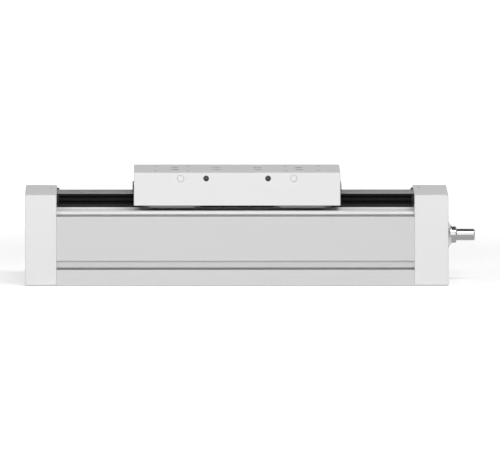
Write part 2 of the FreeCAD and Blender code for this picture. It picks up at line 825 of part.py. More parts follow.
def make_lock_nut():
    """The nut that clamps the drive bearings to the screw, with a tapered nose outside the cap."""
    bore = seat_radius + size.fit_clearance
    nose = seat_radius + size.lock_nut_nose_wall
    taper_start = size.drive_cap_wall + size.lock_nut_stand
    nose_start = taper_start + size.lock_nut_taper
    length = nose_start + size.lock_nut_nose
    body = turn("lock_nut", [
        (0, bore), (0, drive_inner_ring_radius),
        (size.lock_nut_boss, drive_inner_ring_radius), (size.lock_nut_boss, lock_nut_radius),
        (taper_start, lock_nut_radius), (nose_start, nose), (length, nose), (length, bore),
    ], "H_Axis")
    slots = new_sketch(body, "lock_nut_slots", "YZ_Plane", length)
    half_slot = size.lock_nut_slot_width / 2
    near = bore - size.cut_overshoot
    far = lock_nut_radius + size.cut_overshoot
    for side in SIDES:
        add_rectangle(slots, (near * side, far * side), (-half_slot, half_slot))
        add_rectangle(slots, (-half_slot, half_slot), (near * side, far * side))
    pocket(body, slots, size.lock_nut_slot_depth)
    return keep(place(body, along=drive_seat_end, up=screw_height))


def make_carriage_table():
    """The table: a plate with skirts and end walls that clear the rails, and its hole patterns."""
    body = new_body("carriage_table")
    outline = new_sketch(body, "table_outline", "XY_Plane", skirt_base)
    add_rectangle(outline, (-table_half_length, table_half_length),
                  (-table_half_width, table_half_width))
    break_edges(body, pad(body, outline, table_top - skirt_base), size.table_edge)
    hollow = new_sketch(body, "table_hollow", "XY_Plane", skirt_base)
    add_rectangle(hollow, (-hollow_half_length, hollow_half_length), (-skirt_inner, skirt_inner))
    pocket(body, hollow, table_base - skirt_base, True)
    tunnel = new_sketch(body, "table_tunnel", "YZ_Plane", table_half_length)
    half_tunnel = rail_outer + size.tunnel_clearance
    add_rectangle(tunnel, (-half_tunnel, half_tunnel),
                  (ledge_height, deck_top + size.tunnel_clearance))
    pocket(body, tunnel)
    row = size.centring_row / 2
    outer_reach = size.centring_pitch * 3 / 2
    outer_places = [(outer_reach * end, row * side) for end in SIDES for side in SIDES]
    drill(body, "bracket_screw_holes", "XY_Plane", table_top, bracket_screw_places,
          size.five_shank + size.counterbore_clearance)
    drill(body, "bracket_counterbores", "XY_Plane", table_top, bracket_screw_places,
          size.five_head + size.counterbore_clearance, table_counterbore_depth)
    drill(body, "centring_threads", "XY_Plane", table_top, outer_places,
          size.centring_thread_radius)
    drill(body, "centring_bores", "XY_Plane", table_top, outer_places,
          size.centring_radius, size.centring_depth)
    stations = [
        (runner_offset + size.table_thread_reach / 2 * step) * end for end in SIDES for step in SIDES
    ]
    thread_row = size.table_thread_row / 2
    drill(body, "table_threads", "XY_Plane", table_top,
          [(along, thread_row * side) for along in stations for side in SIDES],
          size.table_thread_radius, size.table_thread_depth)
    drill(body, "runner_threads", "XY_Plane", table_base,
          [(along, runner_screw_row * side) for along in runner_screw_stations for side in SIDES],
          size.five_shank, size.runner_thread_depth, True)
    for side, name in zip(SIDES, ("front", "rear")):
        face = -table_half_width * side
        into_table = side > 0
        drill(body, name + "_ports", "XZ_Plane", face,
              [(size.port_offset * end, port_height) for end in SIDES],
              size.port_radius, size.port_depth, into_table)
        drill(body, name + "_plug_seats", "XZ_Plane", face,
              [(size.plug_offset * end, port_height) for end in SIDES],
              size.plug_radius + size.fit_clearance, size.plug_depth, into_table)
    for end, name in zip(SIDES, ("idle", "drive")):
        drill(body, name + "_wiper_threads", "YZ_Plane", table_half_length * end,
              [(wiper_screw_offset * side, wiper_screw_height) for side in SIDES],
              size.three_shank, size.wiper_screw_length, end < 0)
    return keep(place(body, along=size.table_rest))


def runner_outline(side, inset):
    """Half a runner: a leg beside the rail under a wider flange that meets the table."""
    step = runner_outer - size.runner_step
    leg_top = runner_foot + size.runner_leg
    outline = [
        (runner_inner + inset, runner_foot + inset), (step - inset, runner_foot + inset),
        (step - inset, leg_top), (runner_outer - inset, leg_top + inset),
        (runner_outer - inset, table_base - inset), (runner_inner + inset, table_base - inset),
    ]
    return [(across * side, up) for across, up in outline]


def make_runner_block(label, side, end):
    """A steel runner with ball tracks that face the rail, screwed to the table from below."""
    body = new_body(label)
    section = new_sketch(body, label + "_section", "YZ_Plane", -size.runner_length / 2)
    add_polygon(section, runner_outline(side, as_size(0)))
    pad(body, section, size.runner_length)
    tracks = [(track_centre * side, height) for height in track_heights]
    drill(body, label + "_tracks", "YZ_Plane", size.runner_length / 2, tracks, size.track_radius)
    holes = [(size.runner_screw_reach * step, runner_screw_row * side) for step in SIDES]
    drill(body, label + "_holes", "XY_Plane", table_base, holes,
          size.five_shank + size.counterbore_clearance)
    drill(body, label + "_counterbores", "XY_Plane", runner_foot, holes,
          size.five_head + size.counterbore_clearance, runner_counterbore_depth, True)
    return keep(place(body, along=size.table_rest + runner_offset * end))


def make_runner_plate(name, side, thickness, inset):
    """A plate across the end of a runner, cut back from its outline by inset."""
    body = new_body(name)
    section = new_sketch(body, name + "_section", "YZ_Plane")
    add_polygon(section, runner_outline(side, inset))
    pad(body, section, thickness)
    return body


def make_runner_ends():
    """The moulded caps at both ends of each runner, and the seals outside them."""
    cap_start = size.runner_length / 2
    seal_start = cap_start + size.runner_cap_thickness
    for label, thickness, start, inset in (
        ("runner_end_caps", size.runner_cap_thickness, cap_start, size.runner_cap_inset),
        ("runner_seals", size.runner_seal_thickness, seal_start, size.runner_cap_inset * 2),
    ):
        plates = []
        for side, name in zip(SIDES, ("front", "rear")):
            plate = make_runner_plate(name + "_" + label, side, thickness, inset)
            for end in SIDES:
                centre = size.table_rest + runner_offset * end
                plates.append((plate, at(centre + start, 0, 0)))
                plates.append((plate, at(centre - start - thickness, 0, 0)))
        gather(label, plates)


def make_ball_nut():
    """The flanged nut, with two flats on the flange and a collar for its wiper."""
    collar = nut_radius - size.nut_collar_step
    end = size.nut_flange_thickness + size.nut_collar_length
    body = turn("ball_nut", [
        (-size.nut_length, nut_bore_radius), (-size.nut_length, nut_radius), (0, nut_radius),
        (0, nut_flange_radius), (size.nut_flange_thickness, nut_flange_radius),
        (size.nut_flange_thickness, collar), (end, collar), (end, nut_bore_radius),
    ], "H_Axis")
    flats = new_sketch(body, "nut_flats", "YZ_Plane", size.nut_flange_thickness)
    flat = nut_flange_radius - size.nut_flat_cut
    reach = nut_flange_radius + size.cut_overshoot
    for side in SIDES:
        add_rectangle(flats, (flat * side, reach * side), (-reach, reach))
    pocket(body, flats, size.nut_flange_thickness)
    drill(body, "nut_screw_holes", "YZ_Plane", size.nut_flange_thickness, nut_screw_places(0),
          size.three_shank + size.counterbore_clearance, size.nut_flange_thickness)
    return keep(place(body, along=size.table_rest + bracket_length / 2, up=screw_height))


def nut_screw_places(height):
    """Screw places on the flange's bolt circle, on the diagonals, around the given height."""
    reach = (nut_flange_radius - size.nut_screw_inset) * DIAGONAL
    return [(reach * across, reach * up + height) for across in SIDES for up in SIDES]


def make_nut_bracket():
    """The bracket round the nut. Its neck passes the fixed cover strip through a tunnel."""
    cheek = bracket_half_width
    corner = size.bracket_corner
    floor = screw_height - nut_radius - size.bracket_floor_wall
    neck = neck_half_width
    flange = size.centring_row / 2 + size.flange_margin
    body = new_body("nut_bracket")
    section = new_sketch(body, "bracket_section", "YZ_Plane", -bracket_length / 2)
    add_polygon(section, mirrored([
        (cheek - corner, floor), (cheek, floor + corner),
        (cheek, bay_shoulder - size.bracket_shoulder_gap), (neck, slot_roof - size.neck_drop),
        (neck, flange_base), (flange, flange_base), (flange, table_base),
    ]))
    tunnel_floor = deck_top - size.cover_thickness - size.cover_drop
    add_rectangle(section, (-cover_tunnel, cover_tunnel), (tunnel_floor, flange_base))
    pad(body, section, bracket_length)
    drill(body, "nut_seat", "YZ_Plane", bracket_length / 2, [(0, screw_height)],
          nut_radius + size.fit_clearance)
    drill(body, "nut_threads", "YZ_Plane", bracket_length / 2, nut_screw_places(screw_height),
          size.three_shank, size.nut_thread_depth)
    drill(body, "bracket_threads", "XY_Plane", table_base, bracket_screw_places, size.five_shank,
          flange_thread_depth)
    return keep(place(body, along=size.table_rest))


def make_table_wiper(label, end):
    """A thin plate on one end of the table, just above the strips, held by two flat screws."""
    body = new_body(label)
    start = -wiper_thickness if end < 0 else as_size(0)
    section = new_sketch(body, label + "_section", "YZ_Plane", start)
    add_rectangle(section, (-wiper_half_width, wiper_half_width), (wiper_base, wiper_top))
    pad(body, section, wiper_thickness)
    face = wiper_thickness * end
    radius = size.three_shank + size.thread_clearance
    holes = drill(body, label + "_holes", "YZ_Plane", face,
                  [(wiper_screw_offset * side, wiper_screw_height) for side in SIDES],
                  radius, None, end < 0)
    countersink(body, holes, face, radius, countersink_depth)
    return keep(place(body, along=size.table_rest + table_half_length * end))


def make_port_plugs():
    """Plain plugs that close the spare lubrication ports on both sides of the table."""
    depth = size.plug_depth - size.running_clearance
    radius = size.plug_radius
    edge = size.plug_edge
    recess = size.plug_recess
    shape = turn("port_plug", [
        (0, -depth), (radius, -depth), (radius, -recess - edge), (radius - edge, -recess), (0, -recess),
    ], "V_Axis")
    scatter("port_plugs", shape, [
        at(size.table_rest + size.plug_offset * end, table_half_width * side, port_height,
           FreeCAD.Rotation(FreeCAD.Vector(1, 0, 0), -90 * side))
        for end in SIDES for side in SIDES
    ])


def make_fasteners():
    """The socket screws of the rails, end caps, runners, bracket, nut and wipers."""
    five = (size.five_head, size.five_head_height, size.five_socket)
    six = (size.six_head, size.six_head_height, size.six_socket)
    three = (size.three_head, size.three_head_height, size.three_socket)
    under_rail_head = rail_top - rail_counterbore_depth
    rail_grip = under_rail_head - ledge_height + size.rail_thread_depth - size.running_clearance
    rail_screw = cap_screw("rail_screw", size.five_shank, rail_grip, *five)
    scatter("rail_screws", rail_screw, [
        at(along, rail_centre * side, under_rail_head) for along in rail_screw_stations for side in SIDES
    ])
    for label, thickness, face, inward, rotation in (
        ("idle_cap_screws", -half_length - idle_face, idle_face, 1, HEAD_TO_IDLE),
        ("drive_cap_screws", drive_face - half_length, drive_face, -1, HEAD_TO_DRIVE),
    ):
        grip = thickness - cap_counterbore_depth + size.cap_thread_depth - size.running_clearance
        screw = cap_screw(label + "_pattern", size.six_shank, grip, *six)
        station = face + cap_counterbore_depth * inward
        scatter(label, screw, [at(station, across, up, rotation) for across, up in cap_screw_places])
    under_runner_head = runner_foot + runner_counterbore_depth
    runner_grip = table_base - under_runner_head + size.runner_thread_depth - size.running_clearance
    runner_screw = cap_screw("runner_screw", size.five_shank, runner_grip, *five)
    scatter("runner_screws", runner_screw, [
        at(size.table_rest + along, runner_screw_row * side, under_runner_head, INVERTED)
        for along in runner_screw_stations for side in SIDES
    ])
    under_table_head = table_top - table_counterbore_depth
    bracket_grip = under_table_head - table_base + flange_thread_depth - size.running_clearance
    bracket_screw = cap_screw("bracket_screw", size.five_shank, bracket_grip, *five)
    scatter("bracket_screws", bracket_screw, [
        at(size.table_rest + along, across, under_table_head) for along, across in bracket_screw_places
    ])
    nut_grip = size.nut_flange_thickness + size.nut_thread_depth - size.running_clearance
    nut_screw = cap_screw("nut_screw", size.three_shank, nut_grip, *three)
    nut_face = size.table_rest + bracket_length / 2 + size.nut_flange_thickness
    scatter("nut_screws", nut_screw, [
        at(nut_face, across, up, HEAD_TO_DRIVE) for across, up in nut_screw_places(screw_height)
    ])
    wiper_screw = countersunk_screw("wiper_screw", size.three_shank, size.wiper_screw_length,
                                    size.three_head, size.three_socket)
    scatter("wiper_screws", wiper_screw, [
        at(size.table_rest + (table_half_length + wiper_thickness) * end,
           wiper_screw_offset * side, wiper_screw_height, rotation)
        for end, rotation in ((-1, HEAD_TO_IDLE), (1, HEAD_TO_DRIVE)) for side in SIDES
    ])


def check_document():
    """Stops if any feature failed, any cut removed nothing or any piece is not a valid solid."""
    for item in doc.Objects:
        faults = {"Invalid", "Error"}.intersection(item.State)
        if faults:
            raise RuntimeError("%s is %s" % (item.Name, ", ".join(sorted(faults))))
        if item.TypeId == "PartDesign::Pocket":
            removed = item.BaseFeature.Shape.Volume - item.Shape.Volume
            if removed < 0.01:
                raise RuntimeError("%s removes nothing" % item.Name)
    for node in nodes:
        if node.Shape.isNull() or not node.Shape.isValid() or not node.Shape.Solids:
            raise RuntimeError("%s is not a valid solid" % node.Label)


def main():
    make_profile_body()
    make_guide_rail("front_guide_rail", -1)
    make_guide_rail("rear_guide_rail", 1)
    make_rail_cover("front_rail_cover", -1)
    make_rail_cover("rear_rail_cover", 1)
    make_cover_strip()
    make_idle_end_cap()
    make_drive_end_cap()
    make_end_buffers()
    make_ball_screw()
    make_bearings()
    make_snap_ring()
    make_bearing_retainer()
    make_lock_nut()
    make_carriage_table()
    for side, side_name in zip(SIDES, ("front", "rear")):
        for end, end_name in zip(SIDES, ("idle", "drive")):
            make_runner_block("%s_%s_runner" % (side_name, end_name), side, end)
    make_runner_ends()
    make_ball_nut()
    make_nut_bracket()
    make_table_wiper("idle_table_wiper", -1)
    make_table_wiper("drive_table_wiper", 1)
    make_port_plugs()
    make_fasteners()
    doc.recompute()
    check_document()
    os.makedirs("parts", exist_ok=True)
    for node in nodes:
        node.Shape.exportStep("parts/%s.step" % node.Label)
        box = node.Shape.BoundBox
        print("%-28s %2d solids  x %7.2f %7.2f  y %7.2f %7.2f  z %7.2f %7.2f" % (
            node.Label, len(node.Shape.Solids),
            box.XMin, box.XMax, box.YMin, box.YMax, box.ZMin, box.ZMax,
        ))
    print("%d nodes" % len(nodes))


main()
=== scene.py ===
"""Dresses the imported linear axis: its finishes, its turned and threaded detail, and the stage."""
import json
import math

import bmesh
import bpy
from bpy.props import FloatProperty, FloatVectorProperty, IntProperty, PointerProperty
from mathutils import Matrix, Vector


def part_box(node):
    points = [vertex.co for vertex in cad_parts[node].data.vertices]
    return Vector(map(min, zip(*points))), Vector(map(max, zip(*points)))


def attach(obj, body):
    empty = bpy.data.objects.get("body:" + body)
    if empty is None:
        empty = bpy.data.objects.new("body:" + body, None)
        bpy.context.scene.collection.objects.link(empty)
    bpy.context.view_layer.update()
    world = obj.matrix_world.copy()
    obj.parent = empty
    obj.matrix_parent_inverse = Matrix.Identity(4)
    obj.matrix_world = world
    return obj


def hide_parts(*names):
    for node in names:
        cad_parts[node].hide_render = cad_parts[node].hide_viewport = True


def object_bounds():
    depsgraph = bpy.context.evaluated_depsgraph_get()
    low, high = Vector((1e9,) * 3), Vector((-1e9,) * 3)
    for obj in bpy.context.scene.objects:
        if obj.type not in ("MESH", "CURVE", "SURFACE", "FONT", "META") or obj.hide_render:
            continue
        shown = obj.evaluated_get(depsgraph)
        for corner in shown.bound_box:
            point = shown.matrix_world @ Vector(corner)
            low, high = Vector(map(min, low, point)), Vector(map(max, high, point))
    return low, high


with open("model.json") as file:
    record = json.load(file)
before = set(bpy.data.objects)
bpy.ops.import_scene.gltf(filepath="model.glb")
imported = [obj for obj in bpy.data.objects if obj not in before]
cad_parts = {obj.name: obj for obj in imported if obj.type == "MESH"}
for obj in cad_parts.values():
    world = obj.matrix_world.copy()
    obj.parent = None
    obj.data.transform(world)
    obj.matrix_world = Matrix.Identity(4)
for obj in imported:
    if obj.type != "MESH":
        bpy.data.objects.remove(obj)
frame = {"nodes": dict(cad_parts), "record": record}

bl_info = {
    "name": "Linear Axis Dressing",
    "version": (1, 0, 0),
    "blender": (4, 5, 0),
    "location": "3D View > Sidebar > Linear Axis",
    "description": "Finishes, screw thread, fasteners and stage for a ball screw linear axis",
    "category": "Object",
}

CAD_BOX = [list(corner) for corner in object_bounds()]
MILLIMETRE = 0.001
MICRON = 0.000001
FULL_TURN = 2.0 * math.pi
SMOOTH_ANGLE = math.radians(35.0)
MERGE_DISTANCE = 0.000002
AXIS_X, AXIS_Y, AXIS_Z = 0, 1, 2

# Sockets of a colour mix node, which share their names with those of its other kinds
MIX_FACTOR, MIX_LOW, MIX_HIGH = 0, 6, 7
MIX_COLOUR = 2
COLOUR_MIX = {"data_type": "RGBA"}
# Values between which most of a noise pattern lies
PATTERN_LOW, PATTERN_HIGH = 0.3, 0.7
# Cosine of a rounded normal's lean where an edge starts to show, and where it shows fully
EDGE_START, EDGE_FULL = 0.98, 0.80

# Steps round the axis
THREAD_SEGMENTS = 64
WINDING_STEPS = 30
RIDGE_STEPS = 20
HEAD_STEPS = 32
TURNED_STEPS = 48
DRIVE_END_STEPS = 64
# How far the screw's turned ends reach into its thread
END_OVERLAP = 2.0 * MILLIMETRE

# Mounts that are ports with a fine thread
TABLE_PORTS = ("front_idle_port", "front_drive_port", "rear_idle_port", "rear_drive_port")
CAP_PORTS = ("idle_cap_port", "drive_cap_port")
# Tapped patterns: the mount, the thread's pitch and the length of the ridges
TABLE_THREADS = (
    ("table_threads_outer", 0.8 * MILLIMETRE, 9.0 * MILLIMETRE),
    ("table_threads_inner", 0.8 * MILLIMETRE, 9.0 * MILLIMETRE),
    ("table_centring", 1.0 * MILLIMETRE, 10.0 * MILLIMETRE),
)
CAP_THREADS = (("motor_threads", 1.0 * MILLIMETRE, 12.0 * MILLIMETRE),)
# Places in a hole pattern, as shares of its spacing: its two ends, and the columns of bored mouths
PATTERN_ENDS = (-1 / 2, 1 / 2)
MOUTH_COLUMNS = (-1 / 2, -1 / 6, 1 / 6, 1 / 2)
# Screws whose heads show: the body of the group, the way that its heads face, and a head's radius
SCREW_GROUPS = {
    "idle_cap_screws": ("base", (-1, 0, 0), 5.0 * MILLIMETRE),
    "drive_cap_screws": ("base", (1, 0, 0), 5.0 * MILLIMETRE),
    "bracket_screws": ("carriage", (0, 0, 1), 4.2 * MILLIMETRE),
}
# Radius of a cap screw's shank and of its socket, and the socket's depth, as shares of the head's radius
SHANK_SHARE, SOCKET_SHARE, SOCKET_DEPTH_SHARE = 0.6, 0.57, 0.55

# Lamps: degrees from the front towards the drive end, degrees up, distance, width, height and power
LAMPS = {
    "key": (18.0, 50.0, 6.0, 4.2, 1.8, 235.0),
    "fill": (-40.0, 35.0, 2.0, 1.0, 0.6, 8.0),
    "back": (158.0, 36.0, 2.95, 1.6, 1.0, 12.0),
    "front_card": (4.0, 15.0, 2.7, 2.6, 1.4, 20.0),
}
# Cards: the middle, the direction that they face, and half of their width and depth
CARDS = {
    "card_above": ((0.0, 0.45, 1.1), (0, 0, -1), (1.6, 0.9)),
    "card_beside": ((1.3, 0.1, 0.1), (-1, 0, 0), (0.5, 0.5)),
}
# Where the camera and the lamps point
AIM = Vector((0.0149, 0.0, 0.0561))
FLOOR_HALF_SIZE = 6.0
# The floor's glow: the distances from its middle between which it grows, and its strength at both
GLOW_START, GLOW_END = 0.3, 1.2
GLOW_LOW, GLOW_HIGH = 0.47, 0.9
# Strength of the white surround as a light
SURROUND_LIGHT = 0.17
# The camera's sensor in millimetres, and the nearest and farthest distance that it sees in metres
SENSOR_WIDTH = 36.0
CLIP_START, CLIP_END = 0.1, 100.0


def linear(code):
    """Turns an sRGB colour such as #C8C8C8 into the linear values that shaders take."""
    channels = [int(code[place:place + 2], 16) / 255.0 for place in (1, 3, 5)]
    return tuple(c / 12.92 if c <= 0.04045 else ((c + 0.055) / 1.055) ** 2.4 for c in channels)


def length(name, description, default):
    """A length in metres that the sidebar shows in the scene's units."""
    return FloatProperty(name=name, description=description, default=default, unit="LENGTH", precision=5)


def colour(name, description, code):
    """A colour that the sidebar shows as a swatch."""
    return FloatVectorProperty(name=name, description=description, default=linear(code), subtype="COLOR",
                               min=0.0, max=1.0)


class AxisSizes(bpy.types.PropertyGroup):
    """Sizes of what the scene adds to the frame."""
    lead: length("Lead", "Travel of the table for one turn of the screw", 0.020)
    track_width: length("Track width", "Width of a ball track along the screw", 0.0040)
    track_depth: length("Track depth", "Depth of a ball track in the screw", 0.0014)
    thread_radius: length("Thread radius", "Outer radius of the rolled thread", 0.010)
    seat_radius: length("Seat radius", "Radius of the drive bearings' seat", 0.0085)
    idle_radius: length("Idle radius", "Radius of the idle journal", 0.006)
    turned_chamfer: length("Turned chamfer", "Edge break on the turned ends", 0.0008)
    head_round: length("Head rounding", "Rounding of a screw head's rim", 0.0007)
    ridge_height: length("Ridge height", "Height of the thread ridges in tapped holes", 0.00035)
    wall_gap: length("Wall gap", "Gap between a hole's wall and what lines it", 0.00001)
    # Painted shade: the dark lead-ins, the mouths' rings and the ports' floors darken the holes
    shade_ring_start: length("Lead-in gap", "Depth at which the dark lead-in of a tapped hole starts", 0.00002)
    lead_in: length("Lead-in", "Depth at which the ridges of a tapped hole start", 0.0004)
    mouth_gap: length("Mouth gap", "Bare stretch at each end of a bored mouth's lining", 0.0002)
    port_pitch: length("Port pitch", "Pitch of the ports' fine thread", 0.00075)
    mouth_radius: length("Mouth radius", "Radius of the bored mouths on the table's top", 0.0045)
    mouth_depth: length("Mouth depth", "Depth of the bored mouths on the table's top", 0.0022)
    # Painted shade: the thickness of the dark rings and floors in the holes
    shade_lining: length("Lining", "Thickness of a bore's lining and of a port's floor", 0.0001)
    # The band between these two depths is painted light: the ledge and lip are drawn paler than the body
    painted_light_base: length("Milled base", "Depth under the rail seats where the milled band ends", 0.0043)
    painted_light_top: length("Milled top", "Depth under the rail seats where the milled band starts", 0.0015)
    # Painted light: the rails are drawn paler below this height, as light bounced up from the ledge
    rail_foot: length("Rail foot", "Height of the rails' ground foot", 0.0034)
    # Painted shade: the rails' darker band at and under the lower track reaches up to this height
    shade_band_height: length("Oil run", "Height above the rails' base from which oil has run down", 0.0062)
    photo_span: length("Photo span", "Width of the picture at the front of the caps", 0.500)
    camera_distance: length("Camera distance", "From the camera to the middle of the axis", 20.0)
    track_starts: IntProperty(name="Track starts", description="Ball tracks side by side on the screw",
                              default=2, min=1)
    camera_elevation: FloatProperty(name="Camera elevation",
                                    description="Angle that the camera looks down",
                                    default=math.radians(3.73), unit="ROTATION")
    camera_swing: FloatProperty(name="Camera swing",
                                description="Angle of the camera towards the idle end",
                                default=math.radians(0.31), unit="ROTATION")


class AxisColours(bpy.types.PropertyGroup):
    """Colours of the finishes."""
    profile: colour("Profile", "Extruded and clear anodised aluminium", "#D3D3D3")
    # Painted light: this paler tone on the ledge and lip stands in for the light that falls on them
    painted_light: colour("Milled band", "Bare aluminium of the milled ledge and lip", "#E6E6E6")
    block: colour("Blocks", "Milled and clear anodised aluminium", "#DADADA")
    rail: colour("Rails", "Dark coated guide rails", "#222222")
    strip: colour("Strips", "Cold rolled steel strip", "#9C9C9C")
    ground: colour("Ground steel", "Ground and polished screw steel", "#9E9E9F")
    bearing: colour("Bearing steel", "Ground bearing steel", "#9A9A9B")
    nut: colour("Lock nut", "Bright turned steel", "#D2D2D3")
    runner: colour("Runners", "Dull runner block steel", "#747476")
    plated: colour("Plated steel", "Zinc plated fasteners", "#B4B6B8")
    rubber: colour("Rubber", "Moulded black rubber", "#1C1C1C")
    plastic: colour("Plastic", "Moulded grey plastic", "#8E8F91")
    wiper: colour("Wiper plastic", "Moulded grey wiper plates", "#4C4C4D")
    # Painted shade: real thread ridges, plus rings and floors, take this tone darkened as shade in the
    # holes
    thread: colour("Cut threads", "Bare metal of bores and tapped holes, with a film of oil", "#5A5A5C")
    floor: colour("Floor", "Pale studio floor", "#D6D6D6")
    card: colour("Cards", "Grey cloth above and beside the object", "#B8B8B8")


# Shader building blocks

def fill(tree, node, sockets):
    """Fills a node's sockets with values or links."""
    for name, value in sockets.items():
        if isinstance(value, bpy.types.NodeSocket):
            tree.links.new(value, node.inputs[name])
        else:
            node.inputs[name].default_value = value


def add_node(tree, kind, settings=None, sockets=None):
    """Adds a node with its settings and links."""
    node = tree.nodes.new(kind)
    for name, value in (settings or {}).items():
        setattr(node, name, value)
    fill(tree, node, sockets or {})
    return node


def new_surface(name, fixed):
    """A material with one principled shader, whose fixed values go straight to its sockets."""
    material = bpy.data.materials.new(name)
    material.use_nodes = True
    tree = material.node_tree
    tree.nodes.clear()
    shader = add_node(tree, "ShaderNodeBsdfPrincipled", sockets=fixed)
    add_node(tree, "ShaderNodeOutputMaterial", sockets={"Surface": shader.outputs["BSDF"]})
    return material, tree, shader


def grain(tree, scale, detail):
    """A noise pattern on the object's own coordinates, with a scale for each axis."""
    place = add_node(tree, "ShaderNodeTexCoord")
    mapping = add_node(tree, "ShaderNodeMapping", sockets={
        "Vector": place.outputs["Object"], "Scale": scale})
    noise = add_node(tree, "ShaderNodeTexNoise", sockets={
        "Vector": mapping.outputs["Vector"], "Scale": 1.0, "Detail": detail, "Roughness": 0.6})
    return noise.outputs["Fac"]


def streaks(tree, axis, spacing, stretch):
    """Fine lines along one axis: noise of a real spacing, drawn out along that axis."""
    scale = [1.0 / spacing] * 3
    scale[axis] /= stretch
    return grain(tree, scale, detail=3.0)


def rings(tree, spacing, around):
    """Fine lines round the screw's axis: noise that changes along X and hardly round it."""
    return grain(tree, (1.0 / spacing, 1.0 / around, 1.0 / around), detail=2.0)


def clouds(tree, spacing, detail=2.0):
    """Soft patches of a real size, the same in every direction."""
    return grain(tree, [1.0 / spacing] * 3, detail)


def edges(tree, radius):
    """Grows from 0 on the faces to 1 on edges, from how far a rounded normal leans."""
    rounded = add_node(tree, "ShaderNodeBevel", {"samples": 6}, {"Radius": radius})
    face = add_node(tree, "ShaderNodeNewGeometry")
    lean = add_node(tree, "ShaderNodeVectorMath", {"operation": "DOT_PRODUCT"}, {
        0: rounded.outputs["Normal"], 1: face.outputs["True Normal"]})
    mask = add_node(tree, "ShaderNodeMapRange", sockets={
        "Value": lean.outputs["Value"], "From Min": EDGE_START, "From Max": EDGE_FULL})
    return mask.outputs["Result"]


def shade(tone, share):
    """The same tone, lighter or darker by a share, with an alpha of one."""
    return tuple(min(1.0, channel * (1.0 + share)) for channel in tone) + (1.0,)


def dress(tree, shader, finish, pattern, smooth, rough, relief):
    """Gives a shader its colour, and takes its roughness and its relief from one pattern."""
    polish = add_node(tree, "ShaderNodeMapRange", sockets={
        "Value": pattern, "From Min": PATTERN_LOW, "From Max": PATTERN_HIGH,
        "To Min": smooth, "To Max": rough})
    bump = add_node(tree, "ShaderNodeBump", sockets={"Height": pattern, "Distance": relief})
    fill(tree, shader, {"Base Color": finish, "Roughness": polish.outputs["Result"],
                        "Normal": bump.outputs["Normal"]})


# Finishes: their lines and specks are finer on the real thing, and as coarse here as they need to show

def anodised_aluminium(name, tone, axis, spacing, stretch, metallic, painted_light=None):
    """Clear anodised aluminium, drawn or cut with a cutter, with a paler band of painted light where one
    is given.
    """
    # The eye sees a pale satin grey with faint lines along one axis and hardly any shine.
    material, tree, shader = new_surface(name, {
        "Metallic": metallic, "Specular IOR Level": 0.0, "Specular Tint": (0.4, 0.4, 0.4, 1.0)})
    lines = streaks(tree, axis, spacing, stretch)
    patches = clouds(tree, spacing=55.0 * MILLIMETRE)
    lined = add_node(tree, "ShaderNodeMix", COLOUR_MIX, {
        MIX_FACTOR: lines, MIX_LOW: shade(tone, -0.035), MIX_HIGH: shade(tone, 0.035)})
    patchy = add_node(tree, "ShaderNodeMix", COLOUR_MIX, {
        MIX_FACTOR: patches, MIX_LOW: shade(tone, -0.02), MIX_HIGH: shade(tone, 0.02)})
    both = add_node(tree, "ShaderNodeMix", COLOUR_MIX, {
        MIX_FACTOR: 0.4, MIX_LOW: lined.outputs[MIX_COLOUR], MIX_HIGH: patchy.outputs[MIX_COLOUR]})
    finish = both.outputs[MIX_COLOUR]
    # Painted light: a paler band between two heights, on the ledge and lip
    if painted_light:
        lit_tone, base, top = painted_light
        place = add_node(tree, "ShaderNodeTexCoord")
        height = add_node(tree, "ShaderNodeSeparateXYZ", sockets={"Vector": place.outputs["Object"]})
        within = add_node(tree, "ShaderNodeMath", {"operation": "COMPARE"}, {
            0: height.outputs["Z"], 1: (base + top) / 2, 2: (top - base) / 2})
        painted_tone = add_node(tree, "ShaderNodeMix", COLOUR_MIX, {
            MIX_FACTOR: lines, MIX_LOW: shade(lit_tone, -0.03), MIX_HIGH: shade(lit_tone, 0.03)})
        finish = add_node(tree, "ShaderNodeMix", COLOUR_MIX, {
            MIX_FACTOR: within.outputs[0], MIX_LOW: finish,
            MIX_HIGH: painted_tone.outputs[MIX_COLOUR]}).outputs[MIX_COLOUR]
    dress(tree, shader, finish, lines, smooth=0.44, rough=0.54, relief=6.0 * MICRON)
    return material


